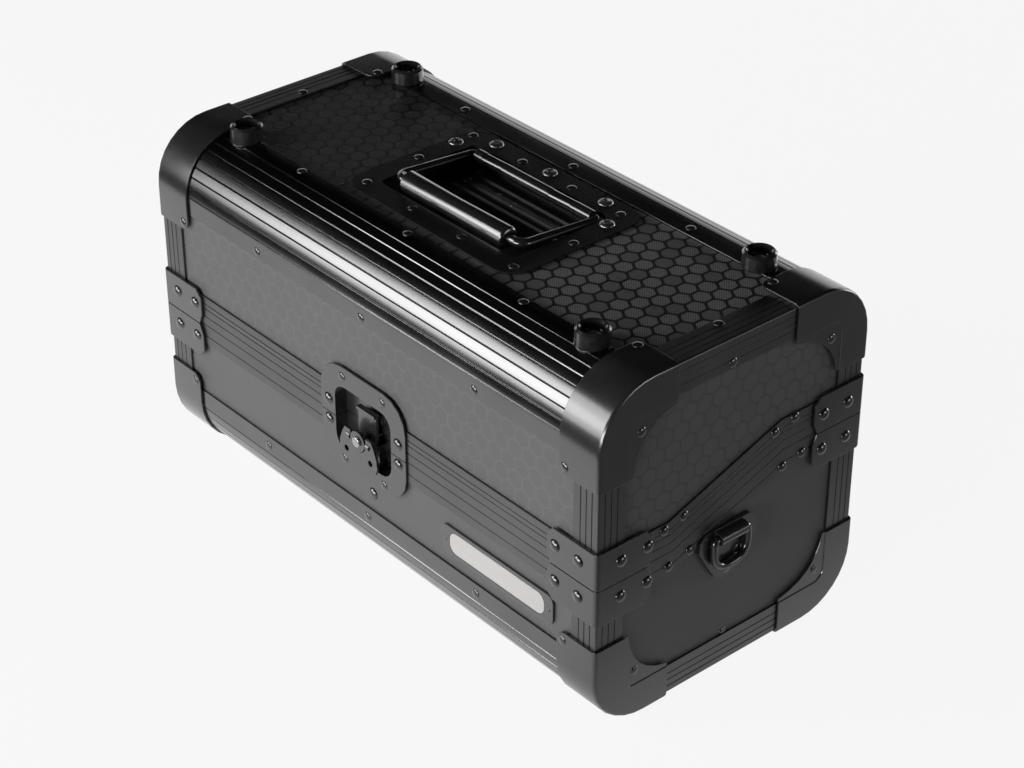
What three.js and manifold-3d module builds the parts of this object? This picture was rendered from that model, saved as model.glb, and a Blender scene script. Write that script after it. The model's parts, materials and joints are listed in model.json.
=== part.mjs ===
// A record case for seven-inch singles: panels held in extruded profiles, pressed corner caps,
// a stepped closing seam with tongue and groove, a recessed twist latch, a fold-down handle,
// a continuous hinge, strap rings on both ends and rubber feet on the lid.
// Millimetres, +Z up. X runs along the case, the front faces -Y, and the case stands on its caps.

import * as THREE from 'three';
import * as BufferGeometryUtils from 'three/addons/utils/BufferGeometryUtils.js';
import Module from 'manifold-3d';

// Case body
const caseLength = 430;
const caseDepth = 215;
const caseHeight = 235;
const edgeRadius = 39.4;
const endEdgeRadius = 1.2;
const panelThickness = 6.5;
const profileWall = 1.6;
const fit = 0.2;
const overrun = 5;
const weldDistance = 0.0001;

// Rounded long profiles
const longLeg = 49.7;
const shortLeg = 42.5;
const panelLap = 5;
const grooveWidth = 1.2;
const grooveDepth = 0.6;
const grooveCount = 8;
const grooveStartShare = 0.165;
const grooveEndShare = 0.948;
const chamberEndShare = 0.07;

// End frames, bent from angle profile
const endFrameLeg = 21;
const endFrameRibCount = 3;
const endFrameRibPitch = 4.8;

// Closing frames round the seam
const seamFrontShare = 0.2936;
const seamRearShare = 0.7959;
const seamBendFront = -48;
const seamBendRear = 43;
const seamGap = 0.4;
const lidBandWidth = 22;
const baseBandWidth = 14.6;
const tongueHeight = 2.6;
const tongueWidth = 2.4;
const tongueInset = 3.9;
const tongueHeadroom = 0.8;
const ribWidth = 0.8;
const ribDepth = 0.5;
const lidRibShares = [0.32, 0.59, 0.76];
const baseRibShares = [0.575];

// Corner caps
const capSheet = 1.5;
const capReach = 32;
const capLongLeg = 61.8;
const capShortLeg = 58;
const capBand = 22.5;
const capBandCorner = 8;
const capFreeCorner = 7;
const capWebSheet = 0.8;
const capWebLap = 5;
const capWebLip = 2.5;
const capWebPull = 29.5;

// Seam corner plates
const plateSheet = 1.8;
const plateFrontReach = 41;
const plateEndReach = 41.5;
const plateLidHeight = 26;
const plateBaseHeight = 25.5;
const plateWaist = 3;
const plateShoulder = 8;
const plateChamfer = 5;

// Rubber feet on the lid
const footRadius = 10.7;
const footFlare = 0.5;
const footHeight = 10.4;
const footSkirt = 3;
const footLip = 1.4;
const footCupRadius = 7.1;
const footCupDepth = 6;
const footEndInset = 48.6;
const footFrontLap = 4.2;
const footRearLap = 5.8;

// Name badge, left bare
const badgeEndInset = 88.5;
const badgeSag = 1.35;
const badgeHalfLength = 51.5;
const badgeHalfHeight = 10.6;
const badgeCorner = 5;
const badgeSheet = 1.8;
const insertHalfLength = 43.7;
const insertHalfHeight = 7.7;
const insertCorner = 6;
const insertSheet = 0.8;

// Latch: widths from its middle, heights from the turner's axis, depths inward from the front
const latchAxisDrop = 3.5;
const latchSheet = 1.2;
const latchPlateHalf = 42.5;
const latchPlateTop = 43.5;
const latchPlateBottom = 30.5;
const latchPlateCorner = 21;
const dishHalf = 28;
const dishTop = 29;
const dishBottom = 18;
const dishCorner = 10;
const dishDepth = 8;
const dishWall = 1;
const spindleRadius = 2.2;
const spindleHeadRadius = 3.1;
const spindleHeadSheet = 1;
const camRadius = 6;
const camThrow = 3;
const camSheet = 2;
const camPlay = 0.9;
const hubRadius = 7.2;
const hubStandoff = 3.4;
const hubSheet = 2.8;
const hubRivetRadius = 3.4;
const hubRivetHeight = 1.2;
const trunnionRadius = 1;
const trunnionReach = 9.6;
const wingSheet = 1.6;
const wingHalf = 19;
const wingDrop = 18;
const wingOutlineShares = [[0.7, 0.28], [0.82, 0.06], [0.97, -0.33], [1, -0.67], [0.9, -0.94], [0.6, -1]];
const wingNotchGap = 0.5;
const wingLugGap = 0.8;
const wingLugWidth = 3.4;
const wingLugRadius = 2.1;
const wingBoreRadius = 1.25;
const wingHoleRadius = 2.2;
const wingHoleX = 12;
const wingHoleDrop = 10.8;
const hookHalf = 9;
const hookFront = 2.4;
const hookSheet = 1.8;
const hookRise = 19.5;
const hookNose = 0.4;
const hookNoseSheet = 2.2;
const hookFoldReach = 1.6;
const hookSlotGap = 0.5;
const hookFoot = 3;
const hookLedge = 1.2;
const guideWidth = 2;
const guideHeight = 16;
const keeperReach = 1.8;
const keeperBottom = 11.5;
const keeperHeight = 5;
const keeperSlopeShare = 0.6;

// Continuous hinge along the rear seam
const hingeAxisOffset = 4.2;
const hingeBarrelRadius = 3.2;
const hingeBoreRadius = 1.75;
const hingePinRadius = 1.5;
const hingeEndGap = 24;
const hingeKnuckleCount = 12;
const hingeKnuckleGap = 0.3;
const hingeLeafSheet = 1.2;
const hingeLeafWidth = 14;

// Handle: heights from the top of the case
const handlePlateHalf = 81;
const handleFrontGap = 7;
const handleRearGap = 2.8;
const handlePlateCorner = 15;
const handleSheet = 1.4;
const handleEndRim = 16.5;
const handleSideRim = 17;
const handleOpeningCorner = 5;
const handleDishDepth = 12.5;
const handleDishWall = 1;
const handlePivotInset = 5.5;
const handlePivotDrop = 3;
const handleGripInset = 10.7;
const handleGripRise = 2.7;
const handleRodRadius = 3;
const handleRodSideGap = 5.5;
const handlePivotBend = 3.2;
const handleFrontBend = 6;
const handleBarrelRadius = 4.5;
const handleBarrelGap = 0.35;
const handleGripRadius = 7.5;
const handleGripWaist = 0.5;
const handleGripHalf = 48.5;
const handleGripEdge = 1.5;
const handleRidgeShares = [0.92, 0.75, 0.63];
const handleRidgeWidth = 2.4;
const handleRidgeHeight = 1.2;
const handleRidgeEndGap = 12.5;
const handleLugShares = [[-0.93, -0.8], [-0.47, 0.28], [0.63, 0.93]];

// Strap rings on both ends
const ringCentreY = -3.5;
const ringBarDrop = 4.8;
const ringBarOut = 4.8;
const ringRodRadius = 2.5;
const ringHalfWidth = 14;
const ringDrop = 22;
const ringTopBend = 3;
const ringBottomBend = 11;
const ringPlateHalf = 23.5;
const ringPlateTop = 4.8;
const ringPlateBottom = 32.7;
const ringPlateOut = 1.8;
const ringPlateShares = [[0.98, 0], [1, -0.22], [0.77, -0.5], [0.62, -0.68], [0.42, -0.91], [0.17, -1]];
const ringPlateTopShare = 0.77;
const ringBlockHalf = 11.2;
const ringBlockRadius = 4.2;
const ringBoreGap = 0.35;

// Facet counts
const edgeSteps = 8;
const innerSteps = 6;
const cornerSteps = 4;
const boreSides = 12;
const roundSides = 20;
const rodSides = 10;
const bendSteps = 4;
const bevelSteps = 2;

// Sizes that follow
const halfLength = caseLength / 2;
const halfDepth = caseDepth / 2;
const panelSkin = profileWall + fit;
const flangeDepth = panelSkin + panelThickness + fit;
const innerDepth = flangeDepth + profileWall;
const tongueRoof = tongueHeight + tongueHeadroom;
const seamFloor = capLongLeg + plateBaseHeight;
const seamRoom = caseHeight - capShortLeg - plateLidHeight - seamFloor;
const seamFrontHeight = seamFloor + seamRoom * seamFrontShare;
const seamRearHeight = seamFloor + seamRoom * seamRearShare;
const seamSlope = Math.atan2(seamRearHeight - seamFrontHeight, seamBendRear - seamBendFront);
const capProud = fit + capSheet;
const shortStop = shortLeg - panelLap;
const longStop = longLeg - panelLap;
const latchAxisHeight = seamFrontHeight - latchAxisDrop;
const hookTravel = 2 * camThrow;
const hubMiddle = hubStandoff + hubSheet / 2;
const hingeHalf = halfLength - plateFrontReach - hingeEndGap;
const hingeKnuckleLength = 2 * hingeHalf / hingeKnuckleCount;
const handlePlateFront = -halfDepth + shortLeg + handleFrontGap;
const handlePlateRear = halfDepth - longLeg - handleRearGap;
const handleOpeningHalf = handlePlateHalf - handleEndRim;
const handleOpeningFront = handlePlateFront + handleSideRim;
const handleOpeningRear = handlePlateRear - handleSideRim;
const handlePivotY = handleOpeningRear - handlePivotInset;
const handleGripY = handleOpeningFront + handleGripInset;
const handleRodHalf = handleOpeningHalf - handleRodSideGap;
const ringBarHeight = seamFrontHeight - ringBarDrop;
const far = caseLength;

const wasm = await Module();
wasm.setup();

// Finishes
const anodised = { color: 0x3c3d3f, roughness: 0.42, metalness: 0.75 };
const laminate = { color: 0x4a4b4d, roughness: 0.55, metalness: 0.05 };
const pressed = { color: 0x343536, roughness: 0.38, metalness: 0.7 };
const steel = { color: 0xb9bbbd, roughness: 0.3, metalness: 0.95 };
const gloss = { color: 0x0d0d0e, roughness: 0.16, metalness: 0.1 };
const rubber = { color: 0x111112, roughness: 0.5, metalness: 0 };
const bare = { color: 0xd9dadb, roughness: 0.35, metalness: 0.6 };

// Solids: closed meshes that can be joined and cut
function toSolid(geometry) {
  const plain = geometry.clone();
  plain.deleteAttribute('normal');
  plain.deleteAttribute('uv');
  const merged = BufferGeometryUtils.mergeVertices(plain, weldDistance);
  const vertProperties = new Float32Array(merged.attributes.position.array);
  const triVerts = new Uint32Array(merged.index.array);
  return new wasm.Manifold(new wasm.Mesh({ numProp: 3, vertProperties, triVerts }));
}

function toGeometry(solid) {
  const mesh = solid.getMesh();
  const geometry = new THREE.BufferGeometry();
  geometry.setAttribute('position', new THREE.BufferAttribute(new Float32Array(mesh.vertProperties), 3));
  geometry.setIndex(new THREE.BufferAttribute(new Uint32Array(mesh.triVerts), 1));
  geometry.computeVertexNormals();
  return geometry;
}

function joined(solids) {
  return solids.reduce((sum, solid) => sum.add(solid));
}

function cut(solid, cutters) {
  return cutters.reduce((rest, cutter) => rest.subtract(cutter), solid);
}

// Outlines
function point(x, y) {
  return new THREE.Vector2(x, y);
}

function arc(cx, cy, radius, startAngle, endAngle, steps) {
  const points = [];
  for (let i = 0; i <= steps; i += 1) {
    const angle = startAngle + (endAngle - startAngle) * (i / steps);
    points.push(point(cx + radius * Math.cos(angle), cy + radius * Math.sin(angle)));
  }
  return points;
}

function circle(cx, cy, radius, sides) {
  return arc(cx, cy, radius, 0, 2 * Math.PI * (1 - 1 / sides), sides - 1);
}

function rectangle(x0, y0, x1, y1) {
  return [point(x0, y0), point(x1, y0), point(x1, y1), point(x0, y1)];
}

function roundedRectangle(x0, y0, x1, y1, radius, steps) {
  const quarter = Math.PI / 2;
  return [
    ...arc(x1 - radius, y1 - radius, radius, 0, quarter, steps),
    ...arc(x0 + radius, y1 - radius, radius, quarter, 2 * quarter, steps),
    ...arc(x0 + radius, y0 + radius, radius, 2 * quarter, 3 * quarter, steps),
    ...arc(x1 - radius, y0 + radius, radius, 3 * quarter, 4 * quarter, steps),
  ];
}

function mirrored(points) {
  return [...points, ...points.map((p) => point(-p.x, p.y)).reverse()];
}

// Extrusions along each axis, from outlines in YZ, XZ and XY
const axisX = new THREE.Vector3(1, 0, 0);
const axisY = new THREE.Vector3(0, 1, 0);
const axisZ = new THREE.Vector3(0, 0, 1);
const turnToX = new THREE.Matrix4().makeBasis(axisY, axisZ, axisX);
const turnToY = new THREE.Matrix4().makeBasis(axisX, axisZ, axisY.clone().negate());

function extruded(points, length, holes) {
  const shape = new THREE.Shape(THREE.ShapeUtils.isClockWise(points) ? [...points].reverse() : points);
  shape.holes = holes.map((hole) => new THREE.Path(hole));
  return new THREE.ExtrudeGeometry(shape, { depth: length, bevelEnabled: false });
}

function alongX(points, x0, x1, holes = []) {
  const geometry = extruded(points, Math.abs(x1 - x0), holes).applyMatrix4(turnToX);
  return toSolid(geometry.translate(Math.min(x0, x1), 0, 0));
}

function alongY(points, y0, y1, holes = []) {
  const geometry = extruded(points, Math.abs(y1 - y0), holes).applyMatrix4(turnToY);
  return toSolid(geometry.translate(0, Math.max(y0, y1), 0));
}

function alongZ(points, z0, z1, holes = []) {
  const geometry = extruded(points, Math.abs(z1 - z0), holes);
  return toSolid(geometry.translate(0, 0, Math.min(z0, z1)));
}

function block(x0, x1, y0, y1, z0, z1) {
  return alongX(rectangle(y0, z0, y1, z1), x0, x1);
}

function slab(x0, x1) {
  return block(x0, x1, -far, far, -far, far);
}

function turned(profile, basis, sides) {
  const geometry = new THREE.LatheGeometry(profile.map(([r, h]) => point(r, h)), sides);
  return toSolid(geometry.applyMatrix4(basis));
}

// Case shells: every skin of the case is a slice between two insets of one rounded envelope
function caseOutline(inset) {
  const half = halfDepth - inset;
  return roundedRectangle(-half, inset, half, caseHeight - inset, edgeRadius - inset, edgeSteps);
}

function envelope(inset) {
  const round = Math.max(endEdgeRadius - inset, 0);
  const geometry = new THREE.ExtrudeGeometry(new THREE.Shape(caseOutline(inset)), {
    depth: caseLength - 2 * inset - 2 * round,
    bevelEnabled: round > 0,
    bevelThickness: round,
    bevelSize: round,
    bevelOffset: -round,
    bevelSegments: bevelSteps,
  }).applyMatrix4(turnToX);
  return toSolid(geometry.translate(round + inset - halfLength, 0, 0));
}

function shell(outerInset, innerInset) {
  return envelope(outerInset).subtract(envelope(innerInset));
}

function grooveSkin(depth) {
  return envelope(-overrun).subtract(envelope(depth));
}

// Seam line in the side view, offset square to itself
function seamLine(offset) {
  const shift = offset * Math.tan(seamSlope / 2);
  return [
    point(-far, seamFrontHeight + offset),
    point(seamBendFront - shift, seamFrontHeight + offset),
    point(seamBendRear - shift, seamRearHeight + offset),
    point(far, seamRearHeight + offset),
  ];
}

function seamBand(lower, upper) {
  return alongX([...seamLine(lower), ...seamLine(upper).reverse()], -far, far);
}

function aboveSeam(offset) {
  return seamBand(offset, far);
}

function belowSeam(offset) {
  return seamBand(-far, offset);
}

// Corner coordinates: inward from the end (t), the front or rear face (u), the top or bottom (v)
function cornerX(end, t) {
  return end * (halfLength - t);
}

function cornerY(side, u) {
  return side * (halfDepth - u);
}

function cornerZ(level, v) {
  return level > 0 ? caseHeight - v : v;
}

// Cut-outs that the dishes sit in
function latchCutout() {
  const gap = dishWall + fit;
  const points = roundedRectangle(-dishHalf - gap, latchAxisHeight - dishBottom - gap, dishHalf + gap,
    latchAxisHeight + dishTop + gap, dishCorner + gap, cornerSteps);
  return alongY(points, -halfDepth - overrun, -halfDepth + innerDepth + overrun);
}

function handleCutout() {
  const gap = handleDishWall + fit;
  const points = roundedRectangle(-handleOpeningHalf - gap, handleOpeningFront - gap,
    handleOpeningHalf + gap, handleOpeningRear + gap, handleOpeningCorner + gap, cornerSteps);
  return alongZ(points, 0, caseHeight + overrun);
}

// Panels, let into the slots of the profiles and closing frames
function upright(side, z0, z1) {
  const half = halfLength - flangeDepth;
  const y0 = cornerY(side, panelSkin);
  const y1 = cornerY(side, panelSkin + panelThickness);
  return block(-half, half, Math.min(y0, y1), Math.max(y0, y1), z0, z1);
}

function flatPanel(z) {
  const half = halfLength - flangeDepth;
  const y0 = cornerY(-1, shortStop + fit);
  const y1 = cornerY(1, longStop + fit);
  return block(-half, half, y0, y1, z, z + panelThickness);
}

function endPanel(end, region) {
  const inner = cornerX(end, flangeDepth - fit);
  return envelope(panelSkin).intersect(slab(inner, end * far)).intersect(region);
}

// Rounded long profile: a grooved outer skin, an inner skin, and a slot for each panel
function onEdge(depth, share) {
  const angle = share * Math.PI / 2;
  const radius = edgeRadius - depth;
  return [edgeRadius - radius * Math.sin(angle), edgeRadius - radius * Math.cos(angle)];
}

function groovedEdge() {
  const pitch = (grooveEndShare - grooveStartShare) / (grooveCount - 1);
  const half = grooveWidth / (edgeRadius * Math.PI);
  const points = [];
  for (let i = 0; i < cornerSteps; i += 1) {
    points.push(onEdge(0, (grooveStartShare - half) * (i / cornerSteps)));
  }
  for (let i = 0; i < grooveCount; i += 1) {
    const share = grooveStartShare + pitch * i;
    points.push(onEdge(0, share - half), onEdge(grooveDepth, share), onEdge(0, share + half));
  }
  return [...points, onEdge(0, 1)];
}

function edgeArc(depth, from, to) {
  const points = [];
  for (let i = 0; i <= innerSteps; i += 1) {
    points.push(onEdge(depth, from + (to - from) * (i / innerSteps)));
  }
  return points;
}

function profileOutline(legU, legV, swap) {
  const edge = groovedEdge();
  const outer = swap ? edge.map(([u, v]) => [v, u]).reverse() : edge;
  const stopU = legU - panelLap;
  const stopV = legV - panelLap;
  return [
    [legU, profileWall], [legU, 0], ...outer, [0, legV],
    [profileWall, legV], [profileWall, stopV], [flangeDepth, stopV], [flangeDepth, legV],
    [innerDepth, legV], ...edgeArc(innerDepth, 1, 0), [legU, innerDepth],
    [legU, flangeDepth], [stopU, flangeDepth], [stopU, profileWall],
  ];
}

function longProfile(side, level) {
  const place = ([u, v]) => point(cornerY(side, u), cornerZ(level, v));
  const isFront = side < 0;
  const outline = isFront
    ? profileOutline(shortLeg, longLeg, false)
    : profileOutline(longLeg, shortLeg, true);
  const chamber = [
    ...edgeArc(profileWall, chamberEndShare, 1 - chamberEndShare),
    ...edgeArc(flangeDepth, 1 - chamberEndShare, chamberEndShare),
  ];
  const half = halfLength - flangeDepth;
  const bar = alongX(outline.map(place), -half, half, [chamber.map(place)]);
  const reach = halfLength - endFrameLeg - fit;
  const skin = grooveSkin(panelSkin);
  return cut(bar, [-1, 1].map((end) => skin.intersect(slab(end * reach, end * far))));
}

// End frames: angle profile bent round the end of each half, ribbed on both legs
function cappedCorners(end) {
  const xs = [cornerX(end, endFrameLeg + overrun), cornerX(end, -overrun)];
  return [-1, 1].flatMap((side) => [-1, 1].map((level) => {
    const ys = [cornerY(side, capShortLeg), cornerY(side, -overrun)];
    const zs = [cornerZ(level, capShortLeg), cornerZ(level, -overrun)];
    return block(...xs, Math.min(...ys), Math.max(...ys), Math.min(...zs), Math.max(...zs));
  }));
}

function endFrameRibs(end) {
  const skin = grooveSkin(ribDepth);
  const ribs = [];
  for (let i = 1; i <= endFrameRibCount; i += 1) {
    const t = endFrameRibPitch * i;
    ribs.push(skin.intersect(slab(cornerX(end, t), cornerX(end, t + ribWidth))));
    const x0 = cornerX(end, ribDepth);
    ribs.push(alongX(caseOutline(t), x0, cornerX(end, -overrun), [caseOutline(t + ribWidth)]));
  }
  return ribs.map((rib) => cut(rib, cappedCorners(end)));
}

function endFrame(end, region) {
  const sleeve = shell(0, profileWall).intersect(slab(cornerX(end, endFrameLeg), end * far));
  const half = halfDepth - endFrameLeg;
  const windowPoints = rectangle(-half, endFrameLeg, half, caseHeight - endFrameLeg);
  const window = alongX(windowPoints, cornerX(end, overrun), cornerX(end, -overrun));
  return cut(sleeve.intersect(region), [window, ...endFrameRibs(end)]);
}

// Closing frames: outer skin, inner flange and web; the base carries the tongue, the lid the groove
function seamRibs(offsets) {
  const skin = grooveSkin(ribDepth);
  return offsets.map((offset) => skin.intersect(seamBand(offset - ribWidth / 2, offset + ribWidth / 2)));
}

function lidClosingFrame() {
  const band = seamBand(seamGap, lidBandWidth);
  const frame = joined([
    shell(0, profileWall).intersect(band),
    shell(flangeDepth, innerDepth).intersect(band),
    shell(0, innerDepth).intersect(seamBand(tongueRoof, tongueRoof + profileWall)),
  ]);
  return cut(frame, [latchCutout(), ...seamRibs(lidRibShares.map((share) => share * lidBandWidth))]);
}

function baseClosingFrame() {
  const band = seamBand(-baseBandWidth, 0);
  const tongue = shell(tongueInset, tongueInset + tongueWidth);
  const frame = joined([
    shell(0, profileWall).intersect(band),
    shell(flangeDepth, innerDepth).intersect(band),
    shell(0, innerDepth).intersect(seamBand(-profileWall, 0)),
    tongue.intersect(seamBand(-profileWall, tongueHeight)),
  ]);
  return cut(frame, [latchCutout(), ...seamRibs(baseRibShares.map((share) => -share * baseBandWidth))]);
}

// Corner caps: pressed over the rounded corner, with a raised band and a thin web on the end
function capStrip(leg) {
  const r = capFreeCorner;
  return [
    point(-overrun, -overrun), point(capReach, -overrun),
    ...arc(capReach - r, leg - r, r, 0, Math.PI / 2, cornerSteps),
    point(-overrun, leg),
  ];
}

function capWindow(legU, legV) {
  const inner = capBand + capBandCorner;
  return [
    point(legU + overrun, capBand), point(legU + overrun, legV + overrun), point(capBand, legV + overrun),
    ...arc(inner, inner, capBandCorner, Math.PI, 1.5 * Math.PI, cornerSteps),
  ];
}

function capWeb(legU, legV) {
  const inset = capBand - capWebLap;
  const edge = new THREE.QuadraticBezierCurve(
    point(legU, capBand + capWebLip),
    point(capWebPull, capWebPull),
    point(capBand + capWebLip, legV),
  );
  return [...edge.getPoints(innerSteps), point(inset, legV), point(inset, inset), point(legU, inset)];
}

function cornerCap(end, side, level) {
  const isFront = side < 0;
  const legU = isFront ? capShortLeg : capLongLeg;
  const legV = isFront ? capLongLeg : capShortLeg;
  const flat = (p) => point(cornerX(end, p.x), cornerY(side, p.y));
  const face = (p) => point(cornerX(end, p.x), cornerZ(level, p.y));
  const cheek = (p) => point(cornerY(side, p.x), cornerZ(level, p.y));
  const z0 = cornerZ(level, -overrun);
  const y0 = cornerY(side, -overrun);
  const top = alongZ(capStrip(legU).map(flat), z0, cornerZ(level, legV));
  const front = alongY(capStrip(legV).map(face), y0, cornerY(side, legU));
  const window = alongX(capWindow(legU, legV).map(cheek), cornerX(end, overrun), cornerX(end, -overrun));
  const web = alongX(capWeb(legU, legV).map(cheek), cornerX(end, -fit), cornerX(end, -fit - capWebSheet));
  return shell(-capProud, -fit).intersect(top).intersect(front).subtract(window).add(web);
}

// Seam corner plates: bent round each upright edge, waisted where the lid meets the base
function seamPlateOutline(reach, isLid) {
  const height = isLid ? plateLidHeight : plateBaseHeight;
  const start = isLid ? seamGap : 0;
  return [
    point(-overrun, start), point(reach - plateWaist, start), point(reach, plateShoulder),
    point(reach, height - plateChamfer), point(reach - plateChamfer, height), point(-overrun, height),
  ];
}

function seamPlate(end, side, isLid) {
  const seam = side < 0 ? seamFrontHeight : seamRearHeight;
  const rise = isLid ? 1 : -1;
  const face = seamPlateOutline(plateFrontReach, isLid).map((p) => point(cornerX(end, p.x), seam + rise * p.y));
  const flank = seamPlateOutline(plateEndReach, isLid).map((p) => point(cornerY(side, p.x), seam + rise * p.y));
  const skin = shell(-fit - plateSheet, -fit);
  return skin.intersect(alongY(face, side * far, 0)).intersect(alongX(flank, end * far, 0));
}

// Latch, in a frame at the turner's axis on the front face
function latchShell() {
  const cupHalf = dishHalf + dishWall;
  const plate = roundedRectangle(-latchPlateHalf, -latchPlateBottom, latchPlateHalf, latchPlateTop,
    latchPlateCorner, cornerSteps);
  const cup = roundedRectangle(-cupHalf, -dishBottom - dishWall, cupHalf, dishTop + dishWall,
    dishCorner + dishWall, cornerSteps);
  const hollow = roundedRectangle(-dishHalf, -dishBottom, dishHalf, dishTop, dishCorner, cornerSteps);
  const face = -fit - latchSheet;
  const body = alongY(plate, face, -fit).add(alongY(cup, face, dishDepth + dishWall));
  return body.subtract(alongY(hollow, face - overrun, dishDepth));
}

function latchLidDish() {
  return latchShell().intersect(block(-far, far, -far, far, latchAxisDrop + seamGap, far));
}

function latchKeeper() {
  const back = dishDepth - fit;
  const front = back - keeperReach;
  const top = keeperBottom + keeperHeight;
  return alongX([
    point(back, keeperBottom), point(front, keeperBottom),
    point(front, keeperBottom + keeperHeight * keeperSlopeShare), point(back - fit, top), point(back, top),
  ], -hookHalf, hookHalf);
}

function latchBaseDish() {
  const inner = hookHalf + 2 * fit;
  const low = -dishBottom + fit;
  const rear = dishDepth + dishWall / 2;
  const guides = [-1, 1].map((side) => block(side * inner, side * (inner + guideWidth), hookFront, rear,
    low, low + guideHeight));
  const bore = alongY(circle(0, 0, spindleRadius + fit, roundSides), 0, dishDepth + overrun);
  const half = latchShell().intersect(block(-far, far, -far, far, -far, latchAxisDrop));
  return joined([half, ...guides]).subtract(bore);
}

function latchTurner() {
  const outward = new THREE.Matrix4().makeBasis(axisX, axisY.clone().negate(), axisZ.clone().negate());
  const hubFace = hubStandoff + hubSheet;
  const headFront = -dishDepth - dishWall - 2 * fit;
  const spindle = turned([
    [0, headFront - spindleHeadSheet], [spindleHeadRadius, headFront - spindleHeadSheet],
    [spindleHeadRadius, headFront], [spindleRadius, headFront], [spindleRadius, hubStandoff],
    [hubRadius, hubStandoff], [hubRadius, hubFace], [hubRivetRadius, hubFace],
    [hubRivetRadius * Math.SQRT1_2, hubFace + hubRivetHeight * Math.SQRT1_2], [0, hubFace + hubRivetHeight],
  ], outward, roundSides);
  const camBack = dishDepth - 4 * fit;
  const cam = alongY(circle(0, -camThrow, camRadius, roundSides), camBack - camSheet, camBack);
  const trunnion = alongX(circle(-hubMiddle, 0, trunnionRadius, boreSides), -trunnionReach, trunnionReach);
  return joined([spindle, cam, trunnion]);
}

function latchWing() {
  const outline = wingOutlineShares.map(([across, up]) => point(wingHalf * across, wingDrop * up));
  const plate = alongY(mirrored(outline), -hubMiddle - wingSheet / 2, -hubMiddle + wingSheet / 2);
  const notchRadius = hubRadius + wingNotchGap;
  const notch = alongY(circle(0, 0, notchRadius, roundSides), -far, far);
  const gate = block(-notchRadius, notchRadius, -far, far, 0, far);
  const holes = [-1, 1].map((side) => alongY(
    circle(side * wingHoleX, -wingHoleDrop, wingHoleRadius, boreSides), -far, far));
  const lugStart = hubRadius + wingLugGap;
  const lugEnd = lugStart + wingLugWidth;
  const lug = circle(-hubMiddle, 0, wingLugRadius, boreSides);
  const lugs = [-1, 1].map((side) => alongX(lug, side * lugStart, side * lugEnd));
  const bore = alongX(circle(-hubMiddle, 0, wingBoreRadius, boreSides), -lugEnd, lugEnd);
  return joined([cut(plate, [notch, gate, ...holes]), ...lugs]).subtract(bore);
}

function latchHook() {
  const back = hookFront + hookSheet;
  const slotHalf = spindleRadius + hookSlotGap;
  const slotLow = -slotHalf - hookTravel;
  const slot = roundedRectangle(-slotHalf, slotLow, slotHalf, slotHalf, slotHalf - fit, cornerSteps);
  const plate = block(-hookHalf, hookHalf, hookFront, back, slotLow - hookFoot, hookRise);
  const nose = block(-hookHalf, hookHalf, hookFront - hookFoldReach, back + hookNose, hookRise - hookNoseSheet,
    hookRise);
  const ledgeBack = dishDepth - 4 * fit;
  const upper = camRadius - camThrow + camPlay;
  const lower = -camRadius - camThrow - camPlay;
  const ledges = [
    block(-hookHalf, hookHalf, hookFront, ledgeBack, upper, upper + hookLedge),
    block(-hookHalf, hookHalf, hookFront, ledgeBack, lower - hookLedge, lower),
  ];
  return joined([plate.subtract(alongY(slot, 0, dishDepth)), nose, ...ledges]);
}

// Hinge, in a frame on its axis
function hingeLeaf(isLid) {
  const rise = isLid ? 1 : -1;
  const near = -hingeAxisOffset + fit;
  const gap = hingeKnuckleGap / 2;
  const clear = rise * (hingeBarrelRadius + 2 * fit);
  const past = -rise * hingeBarrelRadius;
  let leaf = block(-hingeHalf, hingeHalf, near, near + hingeLeafSheet,
    Math.min(0, rise * hingeLeafWidth), Math.max(0, rise * hingeLeafWidth));
  const barrels = [];
  for (let i = 0; i < hingeKnuckleCount; i += 1) {
    const x0 = -hingeHalf + i * hingeKnuckleLength;
    const x1 = x0 + hingeKnuckleLength;
    if (i % 2 === (isLid ? 0 : 1)) {
      barrels.push(alongX(circle(0, 0, hingeBarrelRadius, boreSides), x0 + gap, x1 - gap));
    } else {
      leaf = leaf.subtract(block(x0 - gap, x1 + gap, -far, far, Math.min(past, clear), Math.max(past, clear)));
    }
  }
  const bore = alongX(circle(0, 0, hingeBoreRadius, boreSides), -hingeHalf - overrun, hingeHalf + overrun);
  return joined([leaf, ...barrels]).subtract(bore);
}

function hingePin() {
  return alongX(circle(0, 0, hingePinRadius, boreSides), -hingeHalf, hingeHalf);
}

// Rods: a round section carried along straight runs and bends
class RodPath extends THREE.Curve {
  constructor(stations) {
    super();
    this.stations = stations;
  }

  station(share) {
    return this.stations[Math.round(share * (this.stations.length - 1))];
  }

  getPointAt(share, target = new THREE.Vector3()) {
    return target.copy(this.station(share).point);
  }

  getTangentAt(share, target = new THREE.Vector3()) {
    return target.copy(this.station(share).tangent);
  }
}

function bendStations(before, corner, after, radius) {
  const incoming = corner.clone().sub(before).normalize();
  const outgoing = after.clone().sub(corner).normalize();
  const turn = incoming.angleTo(outgoing);
  const axis = incoming.clone().cross(outgoing).normalize();
  const spoke = incoming.clone().cross(axis).multiplyScalar(radius);
  const start = corner.clone().addScaledVector(incoming, -radius * Math.tan(turn / 2));
  const centre = start.clone().sub(spoke);
  const stations = [];
  for (let k = 0; k <= bendSteps; k += 1) {
    const angle = turn * (k / bendSteps);
    stations.push({
      point: centre.clone().add(spoke.clone().applyAxisAngle(axis, angle)),
      tangent: incoming.clone().applyAxisAngle(axis, angle),
    });
  }
  return stations;
}

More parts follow.
